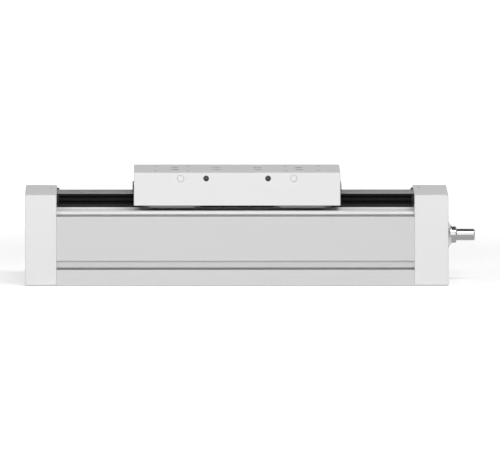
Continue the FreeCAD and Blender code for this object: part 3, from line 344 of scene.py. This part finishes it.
def coated_rail(tone, foot_top, shade_band_top):
    """Thin dark coated rail steel, ground lengthwise, with shade painted in and under its tracks, light
    on its foot and highlights on its edges.
    """
    # The eye sees near black with fine lengthwise lines, and the painted shade, light and highlights
    # below.
    shade_band_fade, foot_fade = 1.0 * MILLIMETRE, 0.6 * MILLIMETRE
    # Open shares of the space in front of a face where the painted shade in a track is full and where it
    # ends
    full_shade_open, no_shade_open = 0.75, 0.98
    material, tree, shader = new_surface("coated_rail", {"Specular IOR Level": 0.03})
    lines = streaks(tree, AXIS_X, spacing=0.8 * MILLIMETRE, stretch=90.0)
    coat = add_node(tree, "ShaderNodeMix", COLOUR_MIX, {
        MIX_FACTOR: lines, MIX_LOW: shade(tone, -0.25), MIX_HIGH: shade(tone, 0.35)})
    open_share = add_node(tree, "ShaderNodeAmbientOcclusion", {"only_local": True, "samples": 8},
                          {"Distance": 3.0 * MILLIMETRE})
    unshaded_share = add_node(tree, "ShaderNodeMapRange", sockets={
        "Value": open_share.outputs["AO"], "From Min": full_shade_open, "From Max": no_shade_open})
    # Painted shade: darker where the space in front is closed, in the tracks
    tracks_shaded = add_node(tree, "ShaderNodeMix", COLOUR_MIX, {
        MIX_FACTOR: unshaded_share.outputs["Result"], MIX_LOW: shade(tone, -0.9),
        MIX_HIGH: coat.outputs[MIX_COLOUR]})
    place = add_node(tree, "ShaderNodeTexCoord")
    height = add_node(tree, "ShaderNodeSeparateXYZ", sockets={"Vector": place.outputs["Object"]})
    # Painted shade: a darker band from the given height down, at and under the lower track
    run = add_node(tree, "ShaderNodeMapRange", {"interpolation_type": "SMOOTHSTEP"}, {
        "Value": height.outputs["Z"], "From Min": shade_band_top, "From Max": shade_band_top - shade_band_fade})
    band_shaded = add_node(tree, "ShaderNodeMix", COLOUR_MIX, {
        MIX_FACTOR: run.outputs["Result"], MIX_LOW: tracks_shaded.outputs[MIX_COLOUR],
        MIX_HIGH: shade(tone, -0.8)})
    # Painted light: the foot drawn paler, as light bounced up from the ledge
    foot_light_mask = add_node(tree, "ShaderNodeMapRange", {"interpolation_type": "SMOOTHSTEP"}, {
        "Value": height.outputs["Z"], "From Min": foot_top, "From Max": foot_top - foot_fade})
    foot = add_node(tree, "ShaderNodeMix", COLOUR_MIX, {
        MIX_FACTOR: lines, MIX_LOW: shade(tone, 0.5), MIX_HIGH: shade(tone, 1.2)})
    footed = add_node(tree, "ShaderNodeMix", COLOUR_MIX, {
        MIX_FACTOR: foot_light_mask.outputs["Result"], MIX_LOW: band_shaded.outputs[MIX_COLOUR],
        MIX_HIGH: foot.outputs[MIX_COLOUR]})
    # Painted highlights: paler on the edges
    wear_and_highlight = add_node(tree, "ShaderNodeMix", COLOUR_MIX, {
        MIX_FACTOR: edges(tree, radius=0.4 * MILLIMETRE), MIX_LOW: footed.outputs[MIX_COLOUR],
        MIX_HIGH: shade(tone, 2.0)})
    dress(tree, shader, wear_and_highlight.outputs[MIX_COLOUR], lines, smooth=0.36, rough=0.48, relief=4.0 * MICRON)
    return material


def rolled_strip(name, tone):
    """Cold rolled steel."""
    # The eye sees a soft grey shine in long rolling lines, with paler and darker stretches.
    material, tree, shader = new_surface(name, {
        "Metallic": 1.0, "Specular Tint": (0.35, 0.35, 0.35, 1.0)})
    lines = streaks(tree, AXIS_X, spacing=0.6 * MILLIMETRE, stretch=150.0)
    patches = clouds(tree, spacing=70.0 * MILLIMETRE)
    lined = add_node(tree, "ShaderNodeMix", COLOUR_MIX, {
        MIX_FACTOR: lines, MIX_LOW: shade(tone, -0.15), MIX_HIGH: shade(tone, 0.15)})
    wear_and_highlight = add_node(tree, "ShaderNodeMix", COLOUR_MIX, {
        MIX_FACTOR: patches, MIX_LOW: lined.outputs[MIX_COLOUR], MIX_HIGH: shade(tone, 0.1)})
    dress(tree, shader, wear_and_highlight.outputs[MIX_COLOUR], lines, smooth=0.28, rough=0.42, relief=3.0 * MICRON)
    return material


def ground_steel(name, tone, smooth, rough):
    """Cylindrically ground steel."""
    # The eye sees a bright mirror that fine rings round the axis soften.
    material, tree, shader = new_surface(name, {"Metallic": 1.0})
    lines = rings(tree, spacing=0.35 * MILLIMETRE, around=30.0 * MILLIMETRE)
    lined = add_node(tree, "ShaderNodeMix", COLOUR_MIX, {
        MIX_FACTOR: lines, MIX_LOW: shade(tone, -0.08), MIX_HIGH: shade(tone, 0.08)})
    dress(tree, shader, lined.outputs[MIX_COLOUR], lines, smooth, rough, relief=2.0 * MICRON)
    return material


def plated_steel(tone):
    """Zinc plated steel."""
    # The eye sees a soft bluish shine in cloudy patches; the brighter rims are a painted highlight.
    material, tree, shader = new_surface("plated_steel", {"Metallic": 0.9})
    patches = clouds(tree, spacing=2.5 * MILLIMETRE, detail=4.0)
    cloudy = add_node(tree, "ShaderNodeMix", COLOUR_MIX, {
        MIX_FACTOR: patches, MIX_LOW: shade(tone, -0.2), MIX_HIGH: shade(tone, 0.1)})
    # Painted highlights: brighter on the rims
    rims_highlighted = add_node(tree, "ShaderNodeMix", COLOUR_MIX, {
        MIX_FACTOR: edges(tree, radius=0.25 * MILLIMETRE), MIX_LOW: cloudy.outputs[MIX_COLOUR],
        MIX_HIGH: shade(tone, 0.35)})
    dress(tree, shader, rims_highlighted.outputs[MIX_COLOUR], patches, smooth=0.28, rough=0.44, relief=3.0 * MICRON)
    return material


def moulded(name, tone, speck, smooth, rough):
    """Moulded rubber or plastic."""
    # The eye sees a matt skin with the fine grain of its mould; its paler edges are a painted highlight.
    material, tree, shader = new_surface(name, {"Specular IOR Level": 0.35})
    speckle = clouds(tree, spacing=speck, detail=4.0)
    grained = add_node(tree, "ShaderNodeMix", COLOUR_MIX, {
        MIX_FACTOR: speckle, MIX_LOW: shade(tone, -0.3), MIX_HIGH: shade(tone, 0.3)})
    # Painted highlights: paler on the edges
    edges_highlighted = add_node(tree, "ShaderNodeMix", COLOUR_MIX, {
        MIX_FACTOR: edges(tree, radius=0.3 * MILLIMETRE), MIX_LOW: grained.outputs[MIX_COLOUR],
        MIX_HIGH: shade(tone, 1.2)})
    dress(tree, shader, edges_highlighted.outputs[MIX_COLOUR], speckle, smooth, rough, relief=12.0 * MICRON)
    return material


def wear(nodes, material):
    """Puts a material on CAD nodes in place of the one they came with."""
    for name in nodes:
        slots = frame["nodes"][name].data.materials
        slots.clear()
        slots.append(material)


# Mesh building blocks

def mount_named(name):
    """One of the record's mounts."""
    return next(mount for mount in frame["record"]["mounts"] if mount["name"] == name)


def turned(bm, outline, steps):
    """Turns an outline of (along X, radius) points about the X axis."""
    points = [bm.verts.new((along, 0.0, radius)) for along, radius in outline]
    lines = [bm.edges.new(pair) for pair in zip(points, points[1:])]
    bmesh.ops.spin(bm, geom=points + lines, cent=(0, 0, 0), axis=(1, 0, 0), angle=FULL_TURN, steps=steps,
                   use_merge=True, use_duplicate=False)


def closed(bm):
    """Joins what touches and turns every face outward."""
    bmesh.ops.remove_doubles(bm, verts=bm.verts, dist=MERGE_DISTANCE)
    bmesh.ops.recalc_face_normals(bm, faces=bm.faces)
    return bm


def as_mesh(name, bm):
    """Keeps what was built as a mesh."""
    mesh = bpy.data.meshes.new(name)
    bm.to_mesh(mesh)
    bm.free()
    return mesh


def stamp(bm, pattern, places):
    """Adds a copy of a pattern mesh at each place, and lets the pattern go."""
    for place in places:
        count = len(bm.verts)
        bm.from_mesh(pattern)
        bm.verts.ensure_lookup_table()
        bmesh.ops.transform(bm, matrix=place, verts=bm.verts[count:])
    bpy.data.meshes.remove(pattern)


def keep_piece(name, bm, body, material, replaced=()):
    """Keeps a closed mesh as a piece that rides on a body."""
    mesh = as_mesh(name, bm)
    mesh.materials.append(material)
    mesh.polygons.foreach_set("use_smooth", [True] * len(mesh.polygons))
    mesh.set_sharp_from_angle(angle=SMOOTH_ANGLE)
    piece = bpy.data.objects.new(name, mesh)
    bpy.context.scene.collection.objects.link(piece)
    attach(piece, body)
    if replaced:
        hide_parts(*replaced)


def wind(bm, advance, turns, steps):
    """Winds a section round the X axis for one turn, and repeats that turn along the axis."""
    bmesh.ops.spin(bm, geom=list(bm.verts) + list(bm.edges), cent=(0, 0, 0), axis=(1, 0, 0),
                   angle=FULL_TURN, dvec=(advance / steps, 0, 0), steps=steps, use_duplicate=False)
    one_turn = list(bm.faces)
    for index in range(1, turns):
        copy = bmesh.ops.duplicate(bm, geom=one_turn)["geom"]
        verts = [item for item in copy if isinstance(item, bmesh.types.BMVert)]
        bmesh.ops.translate(bm, verts=verts, vec=(advance * index, 0, 0))
    bmesh.ops.remove_doubles(bm, verts=bm.verts, dist=MERGE_DISTANCE)


def thread_mesh(sizes, start, end):
    """The rolled thread: a round bar with its ball tracks cut in, wound from start to end."""
    bm = bmesh.new()
    upright = Matrix.Translation((start, 0, 0)) @ Matrix.Rotation(FULL_TURN / 4, 4, "Y")
    bmesh.ops.create_circle(bm, cap_ends=False, segments=THREAD_SEGMENTS, radius=sizes.thread_radius,
                            matrix=upright)
    pitch = FULL_TURN / sizes.track_starts
    half_track = FULL_TURN * sizes.track_width / sizes.lead / 2
    for vert in bm.verts:
        around = math.atan2(vert.co.y, vert.co.z) % pitch - pitch / 2
        share = max(0.0, 1.0 - (around / half_track) ** 2)
        radius = sizes.thread_radius - sizes.track_depth * math.sqrt(share)
        vert.co.yz = vert.co.yz.normalized() * radius
    wind(bm, sizes.lead, math.ceil((end - start) / sizes.lead), WINDING_STEPS)
    wound = list(bm.verts) + list(bm.edges) + list(bm.faces)
    bmesh.ops.bisect_plane(bm, geom=wound, plane_co=(end, 0, 0), plane_no=(1, 0, 0), clear_outer=True)
    bmesh.ops.holes_fill(bm, edges=bm.edges, sides=0)
    return as_mesh("thread", closed(bm))


def ridge_mesh(radius, depth, pitch, height):
    """The ridges of a tapped hole: a three-sided wire wound inside the hole, into its own -X."""
    bm = bmesh.new()
    corners = [bm.verts.new((along, 0.0, out)) for along, out in
               ((0.0, radius), (-pitch / 2, radius - height), (-pitch, radius))]
    for index in range(len(corners)):
        bm.edges.new((corners[index], corners[index - 1]))
    wind(bm, -pitch, round(depth / pitch) - 1, RIDGE_STEPS)
    bmesh.ops.holes_fill(bm, edges=bm.edges, sides=0)
    return as_mesh("ridges", closed(bm))


def screw_mesh(head_radius, whole, rounding):
    """A cap screw that points along its own -X: its head ends at 0 and holds a hexagon socket."""
    bm = bmesh.new()
    # A head is as high as its radius.
    head_height = head_radius
    shank_radius = head_radius * SHANK_SHARE
    arc = [(-rounding * (1.0 - math.sin(turn)), head_radius - rounding * (1.0 - math.cos(turn)))
           for turn in (0.0, FULL_TURN / 12, FULL_TURN / 6, FULL_TURN / 4)]
    turned(bm, [(-whole, 0.0), (-whole, shank_radius), (-head_height, shank_radius),
                (-head_height, head_radius)] + arc, HEAD_STEPS)
    closed(bm)
    rim = [edge for edge in bm.edges if edge.is_boundary]
    hexagon = bmesh.ops.create_circle(bm, cap_ends=False, segments=6, radius=head_radius * SOCKET_SHARE,
                                      matrix=Matrix.Rotation(FULL_TURN / 4, 4, "Y"))["verts"]
    mouth = [edge for edge in bm.edges if edge.verts[0] in hexagon]
    bmesh.ops.bridge_loops(bm, edges=rim + mouth)
    walls = bmesh.ops.extrude_edge_only(bm, edges=mouth)["geom"]
    floor = [item for item in walls if isinstance(item, bmesh.types.BMVert)]
    bmesh.ops.translate(bm, verts=floor, vec=(-head_radius * SOCKET_DEPTH_SHARE, 0, 0))
    bmesh.ops.holes_fill(bm, edges=bm.edges, sides=0)
    return as_mesh("screw", closed(bm))


def turned_mesh(name, outline):
    """A turned piece by itself, to stamp where it is needed."""
    bm = bmesh.new()
    turned(bm, outline, TURNED_STEPS)
    return as_mesh(name, closed(bm))


def shade_ring_mesh(sizes, radius, base, top):
    """A thin ring of painted shade that lines a hole from base to top, along its own X."""
    outer = radius - sizes.wall_gap
    inner = outer - sizes.shade_lining
    section = [(base, outer), (top, outer), (top, inner), (base, inner)]
    return turned_mesh("shade_lining", section + section[:1])


def facing(position, axis):
    """A place whose own X axis points along a direction."""
    return Matrix.Translation(position) @ Vector(axis).to_track_quat("X", "Z").to_matrix().to_4x4()


def hole_places(mount, columns=PATTERN_ENDS):
    """The places of a rectangular hole pattern, each with its own X axis out of the hole."""
    axis = Vector(mount["axis"])
    middle = Vector(mount["pos_m"])
    along = Vector((0, 0, 1)) if abs(axis.x) > abs(axis.z) else Vector((1, 0, 0))
    along *= mount["dims"]["spacing_x_mm"] * MILLIMETRE
    across = Vector((0, mount["dims"]["spacing_y_mm"] * MILLIMETRE, 0))
    return [facing(middle + along * column + across * row, axis)
            for column in columns for row in PATTERN_ENDS]


def toward(azimuth, elevation):
    """The direction at an angle from the front towards the drive end, and at an angle up."""
    level = math.cos(elevation)
    return Vector((level * math.sin(azimuth), -level * math.cos(azimuth), math.sin(elevation)))


# Operators, one for each piece or group of like pieces

class AXIS_OT_profile(bpy.types.Operator):
    """Finishes the extruded body with die lines along its length, and paints light on its ledge and lip
    as a paler band
    """
    bl_idname = "axis.profile"
    bl_label = "Extruded body"
    bl_options = {"REGISTER", "UNDO"}

    def execute(self, context):
        colours = context.scene.axis_colours
        sizes = context.scene.axis_sizes
        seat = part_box("profile_body")[1].z
        # A paler band on the ledge and lip, painted as the light that falls on them
        band = (colours.painted_light, seat - sizes.painted_light_base, seat - sizes.painted_light_top)
        wear(["profile_body"],
             anodised_aluminium("extruded_aluminium", colours.profile, AXIS_X, spacing=1.6 * MILLIMETRE,
                                stretch=160.0, metallic=0.15, painted_light=band))
        return {"FINISHED"}


class AXIS_OT_end_caps(bpy.types.Operator):
    """Finishes the two end caps with upright cutter lines"""
    bl_idname = "axis.end_caps"
    bl_label = "End caps"
    bl_options = {"REGISTER", "UNDO"}

    def execute(self, context):
        colours = context.scene.axis_colours
        wear(["idle_end_cap", "drive_end_cap"],
             anodised_aluminium("milled_caps", colours.block, AXIS_Z, spacing=1.8 * MILLIMETRE,
                                stretch=60.0, metallic=0.3))
        return {"FINISHED"}


class AXIS_OT_table(bpy.types.Operator):
    """Finishes the table, its port plugs and the nut bracket with lengthwise cutter lines"""
    bl_idname = "axis.table"
    bl_label = "Table"
    bl_options = {"REGISTER", "UNDO"}

    def execute(self, context):
        colours = context.scene.axis_colours
        wear(["carriage_table", "port_plugs", "nut_bracket"],
             anodised_aluminium("milled_table", colours.block, AXIS_X, spacing=1.8 * MILLIMETRE,
                                stretch=70.0, metallic=0.3))
        return {"FINISHED"}


class AXIS_OT_guide_rails(bpy.types.Operator):
    """Finishes the black guide rails"""
    bl_idname = "axis.guide_rails"
    bl_label = "Guide rails"
    bl_options = {"REGISTER", "UNDO"}

    def execute(self, context):
        sizes = context.scene.axis_sizes
        colours = context.scene.axis_colours
        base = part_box("front_guide_rail")[0].z
        # The rails' paler foot is painted light, and the darker band above it is painted shade
        wear(["front_guide_rail", "rear_guide_rail"],
             coated_rail(colours.rail, foot_top=base + sizes.rail_foot, shade_band_top=base + sizes.shade_band_height))
        return {"FINISHED"}


class AXIS_OT_strips(bpy.types.Operator):
    """Finishes the cover strip and the rail covers"""
    bl_idname = "axis.strips"
    bl_label = "Cover strips"
    bl_options = {"REGISTER", "UNDO"}

    def execute(self, context):
        colours = context.scene.axis_colours
        wear(["front_rail_cover", "rear_rail_cover", "cover_strip"],
             rolled_strip("rolled_strip", colours.strip))
        return {"FINISHED"}


class AXIS_OT_ball_screw(bpy.types.Operator):
    """Makes the ball screw with its wound ball tracks and turned ends"""
    bl_idname = "axis.ball_screw"
    bl_label = "Ball screw"
    bl_options = {"REGISTER", "UNDO"}

    def execute(self, context):
        sizes = context.scene.axis_sizes
        colours = context.scene.axis_colours
        low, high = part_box("ball_screw")
        idle_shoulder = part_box("idle_bearing_inner_ring")[1].x
        drive_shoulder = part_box("drive_bearing_inner_rings")[0].x
        shaft = mount_named("drive_shaft")
        journal_radius = shaft["dims"]["r_mm"] * MILLIMETRE
        journal_length = shaft["dims"]["length_mm"] * MILLIMETRE
        journal_start = shaft["pos_m"][AXIS_X] - journal_length / 2
        break_edge = sizes.turned_chamfer
        idle_end = idle_shoulder + END_OVERLAP
        drive_start = drive_shoulder - END_OVERLAP
        bm = bmesh.new()
        turned(bm, [(low.x, 0.0), (low.x, sizes.idle_radius - break_edge),
                    (low.x + break_edge, sizes.idle_radius),
                    (idle_end, sizes.idle_radius), (idle_end, 0.0)], TURNED_STEPS)
        turned(bm, [(drive_start, 0.0), (drive_start, sizes.seat_radius),
                    (journal_start - break_edge / 2, sizes.seat_radius),
                    (journal_start, sizes.seat_radius - break_edge / 2),
                    (journal_start, journal_radius + break_edge),
                    (journal_start + break_edge, journal_radius),
                    (journal_start + journal_length, journal_radius),
                    (high.x, journal_radius - break_edge), (high.x, 0.0)], DRIVE_END_STEPS)
        closed(bm)
        stamp(bm, thread_mesh(sizes, idle_shoulder, drive_shoulder), [Matrix.Identity(4)])
        bmesh.ops.translate(bm, verts=bm.verts, vec=(0, 0, shaft["pos_m"][AXIS_Z]))
        keep_piece("threaded_screw", bm, "screw",
                   ground_steel("ground_screw", colours.ground, smooth=0.10, rough=0.18), ["ball_screw"])
        return {"FINISHED"}


class AXIS_OT_bearings(bpy.types.Operator):
    """Finishes the bearings, the lock nut, the ball nut and the runners"""
    bl_idname = "axis.bearings"
    bl_label = "Bearings and runners"
    bl_options = {"REGISTER", "UNDO"}

    def execute(self, context):
        colours = context.scene.axis_colours
        wear(["drive_bearing_inner_rings", "drive_bearing_outer_rings", "idle_bearing_inner_ring",
              "idle_bearing_outer_ring", "snap_ring", "bearing_retainer", "ball_nut"],
             ground_steel("ground_rings", colours.bearing, smooth=0.24, rough=0.36))
        wear(["lock_nut"], ground_steel("turned_nut", colours.nut, smooth=0.26, rough=0.38))
        wear(["front_idle_runner", "front_drive_runner", "rear_idle_runner", "rear_drive_runner"],
             rolled_strip("runner_steel", colours.runner))
        return {"FINISHED"}


class AXIS_OT_mouldings(bpy.types.Operator):
    """Finishes the buffers, the runners' end caps, their seals and the wipers"""
    bl_idname = "axis.mouldings"
    bl_label = "Mouldings"
    bl_options = {"REGISTER", "UNDO"}

    def execute(self, context):
        colours = context.scene.axis_colours
        wear(["end_buffers"],
             moulded("buffer_rubber", colours.rubber, speck=0.7 * MILLIMETRE, smooth=0.62, rough=0.78))
        wear(["runner_seals"],
             moulded("seal_rubber", colours.rubber, speck=0.5 * MILLIMETRE, smooth=0.5, rough=0.65))
        wear(["runner_end_caps"],
             moulded("runner_plastic", colours.plastic, speck=0.6 * MILLIMETRE, smooth=0.45, rough=0.6))
        wear(["idle_table_wiper", "drive_table_wiper"],
             moulded("wiper_plastic", colours.wiper, speck=0.6 * MILLIMETRE, smooth=0.5, rough=0.65))
        return {"FINISHED"}


class AXIS_OT_fasteners(bpy.types.Operator):
    """Makes the screws whose heads can be seen and finishes the hidden ones"""
    bl_idname = "axis.fasteners"
    bl_label = "Fasteners"
    bl_options = {"REGISTER", "UNDO"}

    def execute(self, context):
        sizes = context.scene.axis_sizes
        colours = context.scene.axis_colours
        plated = plated_steel(colours.plated)
        wear(["rail_screws", "runner_screws", "nut_screws", "wiper_screws"], plated)
        for node, (body, axis, head_radius) in SCREW_GROUPS.items():
            self.replace_group(node, body, Vector(axis), head_radius, sizes.head_round, plated)
        return {"FINISHED"}

    def replace_group(self, node, body, axis, head_radius, rounding, material):
        """Puts a finer screw in each corner of the box that a group of four screws fills."""
        low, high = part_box(node)
        along = max(range(3), key=lambda place: abs(axis[place]))
        across = [place for place in range(3) if place != along]
        top = high[along] if axis[along] > 0 else low[along]
        places = []
        for first in (low[across[0]] + head_radius, high[across[0]] - head_radius):
            for second in (low[across[1]] + head_radius, high[across[1]] - head_radius):
                position = Vector((0, 0, 0))
                position[along] = top
                position[across[0]] = first
                position[across[1]] = second
                places.append(facing(position, axis))
        bm = bmesh.new()
        stamp(bm, screw_mesh(head_radius, high[along] - low[along], rounding), places)
        keep_piece(node + "_detailed", bm, body, material, [node])


class AXIS_OT_tapped_holes(bpy.types.Operator):
    """Winds thread ridges into the ports and the tapped holes, and paints shade in them and in the bored
    mouths
    """
    bl_idname = "axis.tapped_holes"
    bl_label = "Tapped holes"
    bl_options = {"REGISTER", "UNDO"}

    def execute(self, context):
        sizes = context.scene.axis_sizes
        colours = context.scene.axis_colours
        # Painted shade: the thread ridges, rings and floors in the holes take a darkened tone
        painted_tone = ground_steel("threads_painted_dark", colours.thread, smooth=0.30, rough=0.45)
        table = bmesh.new()
        for name in TABLE_PORTS:
            self.thread_port(table, sizes, mount_named(name))
        self.thread_patterns(table, sizes, TABLE_THREADS)
        self.shade_mouths(table, sizes, mount_named("table_centring"))
        cap = bmesh.new()
        for name in CAP_PORTS:
            self.thread_port(cap, sizes, mount_named(name))
        self.thread_patterns(cap, sizes, CAP_THREADS)
        keep_piece("table_threads_and_shade", table, "carriage", painted_tone)
        keep_piece("cap_threads_and_shade", cap, "base", painted_tone)
        return {"FINISHED"}

    def tap(self, bm, sizes, radius, depth, pitch, places):
        """A dark lead-in ring of painted shade and the ridges under it, in each of a group of like holes.
        """
        inward = Matrix.Translation((-sizes.lead_in, 0, 0))
        stamp(bm, shade_ring_mesh(sizes, radius, -sizes.lead_in, -sizes.shade_ring_start), places)
        stamp(bm, ridge_mesh(radius - sizes.wall_gap, depth, pitch, sizes.ridge_height),
              [place @ inward for place in places])

    def thread_port(self, bm, sizes, mount):
        """A tapped port, with a disc of painted shade on its floor."""
        axis = Vector(mount["axis"])
        depth = mount["dims"]["length_mm"] * MILLIMETRE
        port_radius = mount["dims"]["r_mm"] * MILLIMETRE
        place = facing(Vector(mount["pos_m"]) + axis * depth / 2, axis)
        self.tap(bm, sizes, port_radius, depth - sizes.port_pitch, sizes.port_pitch, [place])
        radius = port_radius - sizes.wall_gap
        floor = sizes.wall_gap - depth
        disc = turned_mesh("shaded_port_floor", [(floor, 0.0), (floor, radius), (floor + sizes.shade_lining, radius),
                                          (floor + sizes.shade_lining, 0.0)])
        stamp(bm, disc, [place])

    def thread_patterns(self, bm, sizes, patterns):
        """Lead-ins and ridges in each hole of tapped patterns."""
        for name, pitch, depth in patterns:
            mount = mount_named(name)
            radius = mount["dims"]["hole_r_mm"] * MILLIMETRE
            self.tap(bm, sizes, radius, depth, pitch, hole_places(mount))

    def shade_mouths(self, bm, sizes, mount):
        """A thin ring of painted shade in each bored mouth, whose floor is where the centring mount lies.
        """
        top = sizes.mouth_depth - sizes.mouth_gap
        stamp(bm, shade_ring_mesh(sizes, sizes.mouth_radius, sizes.mouth_gap, top),
              hole_places(mount, MOUTH_COLUMNS))


class AXIS_OT_stage(bpy.types.Operator):
    """Sets the floor, the lamps, the grey cards, the world and the camera"""
    bl_idname = "axis.stage"
    bl_label = "Stage"
    bl_options = {"REGISTER", "UNDO"}

    def execute(self, context):
        colours = context.scene.axis_colours
        self.lay_floor(colours)
        cloth = self.card_cloth(colours)
        for name, (middle, normal, half_sizes) in CARDS.items():
            self.hang_card(name, cloth, Vector(middle), Vector(normal), half_sizes)
        for name, values in LAMPS.items():
            self.hang_lamp(name, *values)
        # The card in front only gives metal something bright to show.
        bpy.data.objects["front_card"].visible_diffuse = False
        self.light_world(context.scene)
        self.set_camera(context.scene, context.scene.axis_sizes)
        context.scene.view_settings.view_transform = "Standard"
        return {"FINISHED"}

    def lay_floor(self, colours):
        """A pale floor that stays white behind the object and still takes its shadow."""
        bm = bmesh.new()
        bmesh.ops.create_grid(bm, x_segments=1, y_segments=1, size=FLOOR_HALF_SIZE)
        mesh = as_mesh("floor", bm)
        material, tree, shader = new_surface("studio_floor", {
            "Roughness": 0.9, "Specular IOR Level": 0.1, "Emission Color": (1.0, 1.0, 1.0, 1.0)})
        paper = clouds(tree, spacing=30.0 * MILLIMETRE)
        sheet = add_node(tree, "ShaderNodeMix", COLOUR_MIX, {
            MIX_FACTOR: paper, MIX_LOW: shade(colours.floor, -0.01),
            MIX_HIGH: shade(colours.floor, 0.01)})
        place = add_node(tree, "ShaderNodeTexCoord")
        reach = add_node(tree, "ShaderNodeVectorMath", {"operation": "LENGTH"}, {
            0: place.outputs["Object"]})
        level = add_node(tree, "ShaderNodeMapRange", {"interpolation_type": "SMOOTHSTEP"}, {
            "Value": reach.outputs["Value"], "From Min": GLOW_START, "From Max": GLOW_END,
            "To Min": GLOW_LOW, "To Max": GLOW_HIGH})
        glow = add_node(tree, "ShaderNodeMath", {"operation": "MULTIPLY"}, {
            0: self.seen_directly(tree), 1: level.outputs["Result"]})
        fill(tree, shader, {"Base Color": sheet.outputs[MIX_COLOUR],
                            "Emission Strength": glow.outputs[0]})
        mesh.materials.append(material)
        floor = bpy.data.objects.new("floor", mesh)
        bpy.context.scene.collection.objects.link(floor)

    def card_cloth(self, colours):
        """The grey cloth of the cards."""
        material, tree, shader = new_surface("card_cloth", {"Roughness": 0.9})
        cloth = clouds(tree, spacing=5.0 * MILLIMETRE)
        weave = add_node(tree, "ShaderNodeMix", COLOUR_MIX, {
            MIX_FACTOR: cloth, MIX_LOW: shade(colours.card, -0.1), MIX_HIGH: shade(colours.card, 0.1)})
        fill(tree, shader, {"Base Color": weave.outputs[MIX_COLOUR]})
        return material

    def hang_card(self, name, material, position, normal, half_sizes):
        """A grey card that the camera doesn't see, and that polished steel shows as a grey band."""
        bm = bmesh.new()
        bmesh.ops.create_grid(bm, x_segments=1, y_segments=1, size=1.0)
        bmesh.ops.scale(bm, vec=(half_sizes[0], half_sizes[1], 1.0), verts=bm.verts)
        place = Matrix.Translation(position) @ normal.to_track_quat("Z", "Y").to_matrix().to_4x4()
        bmesh.ops.transform(bm, matrix=place, verts=bm.verts)
        mesh = as_mesh(name, bm)
        mesh.materials.append(material)
        card = bpy.data.objects.new(name, mesh)
        card.visible_camera = False
        bpy.context.scene.collection.objects.link(card)

    def seen_directly(self, tree):
        """One for camera, glossy and transmission rays, so metal shows the same background."""
        path = add_node(tree, "ShaderNodeLightPath")
        either = add_node(tree, "ShaderNodeMath", {"operation": "MAXIMUM"}, {
            0: path.outputs["Is Camera Ray"], 1: path.outputs["Is Glossy Ray"]})
        any_of = add_node(tree, "ShaderNodeMath", {"operation": "MAXIMUM"}, {
            0: either.outputs[0], 1: path.outputs["Is Transmission Ray"]})
        return any_of.outputs[0]

    def light_world(self, scene):
        """A white surround that lights the object only softly."""
        world = bpy.data.worlds.new("studio")
        world.use_nodes = True
        tree = world.node_tree
        tree.nodes.clear()
        level = add_node(tree, "ShaderNodeMapRange", sockets={
            "Value": self.seen_directly(tree), "To Min": SURROUND_LIGHT, "To Max": 1.0})
        light = add_node(tree, "ShaderNodeBackground", sockets={
            "Color": (1.0, 1.0, 1.0, 1.0), "Strength": level.outputs["Result"]})
        add_node(tree, "ShaderNodeOutputWorld", sockets={"Surface": light.outputs["Background"]})
        scene.world = world

    def hang_lamp(self, name, azimuth, elevation, distance, width, height, power):
        """A soft box that faces the object."""
        lamp = bpy.data.lights.new(name, "AREA")
        lamp.shape = "RECTANGLE"
        lamp.size = width
        lamp.size_y = height
        lamp.energy = power
        direction = toward(math.radians(azimuth), math.radians(elevation))
        holder = bpy.data.objects.new(name, lamp)
        holder.location = AIM + direction * distance
        holder.rotation_euler = (-direction).to_track_quat("-Z", "Y").to_euler()
        holder.visible_camera = False
        bpy.context.scene.collection.objects.link(holder)

    def set_camera(self, scene, sizes):
        """A long lens that looks at the axis as the photograph does."""
        front = CAD_BOX[0][AXIS_Y]
        direction = toward(-sizes.camera_swing, sizes.camera_elevation)
        lens = bpy.data.cameras.new("portrait")
        lens.sensor_width = SENSOR_WIDTH
        lens.lens = lens.sensor_width * (sizes.camera_distance + front) / sizes.photo_span
        lens.clip_start = CLIP_START
        lens.clip_end = CLIP_END
        camera = bpy.data.objects.new("portrait", lens)
        camera.location = AIM + direction * sizes.camera_distance
        camera.rotation_euler = (-direction).to_track_quat("-Z", "Y").to_euler()
        scene.collection.objects.link(camera)
        scene.camera = camera


OPERATORS = (
    AXIS_OT_profile, AXIS_OT_end_caps, AXIS_OT_table, AXIS_OT_guide_rails, AXIS_OT_strips,
    AXIS_OT_ball_screw, AXIS_OT_bearings, AXIS_OT_mouldings, AXIS_OT_fasteners, AXIS_OT_tapped_holes,
    AXIS_OT_stage,
)


class VIEW3D_PT_linear_axis(bpy.types.Panel):
    """Lists the operators and the values that they use"""
    bl_idname = "VIEW3D_PT_linear_axis"
    bl_label = "Linear Axis"
    bl_space_type = "VIEW_3D"
    bl_region_type = "UI"
    bl_category = "Linear Axis"

    def draw(self, context):
        for operator in OPERATORS:
            self.layout.operator(operator.bl_idname)
        for group in (context.scene.axis_sizes, context.scene.axis_colours):
            box = self.layout.box()
            for name in group.__annotations__:
                box.prop(group, name)


CLASSES = (AxisSizes, AxisColours) + OPERATORS + (VIEW3D_PT_linear_axis,)


def register():
    for kind in CLASSES:
        bpy.utils.register_class(kind)
    bpy.types.Scene.axis_sizes = PointerProperty(type=AxisSizes)
    bpy.types.Scene.axis_colours = PointerProperty(type=AxisColours)


def unregister():
    del bpy.types.Scene.axis_colours
    del bpy.types.Scene.axis_sizes
    for kind in reversed(CLASSES):
        bpy.utils.unregister_class(kind)


def main():
    """Builds everything in order."""
    register()
    bpy.ops.axis.profile()
    bpy.ops.axis.end_caps()
    bpy.ops.axis.table()
    bpy.ops.axis.guide_rails()
    bpy.ops.axis.strips()
    bpy.ops.axis.ball_screw()
    bpy.ops.axis.bearings()
    bpy.ops.axis.mouldings()
    bpy.ops.axis.fasteners()
    bpy.ops.axis.tapped_holes()
    bpy.ops.axis.stage()


if __name__ == "__main__":
    main()
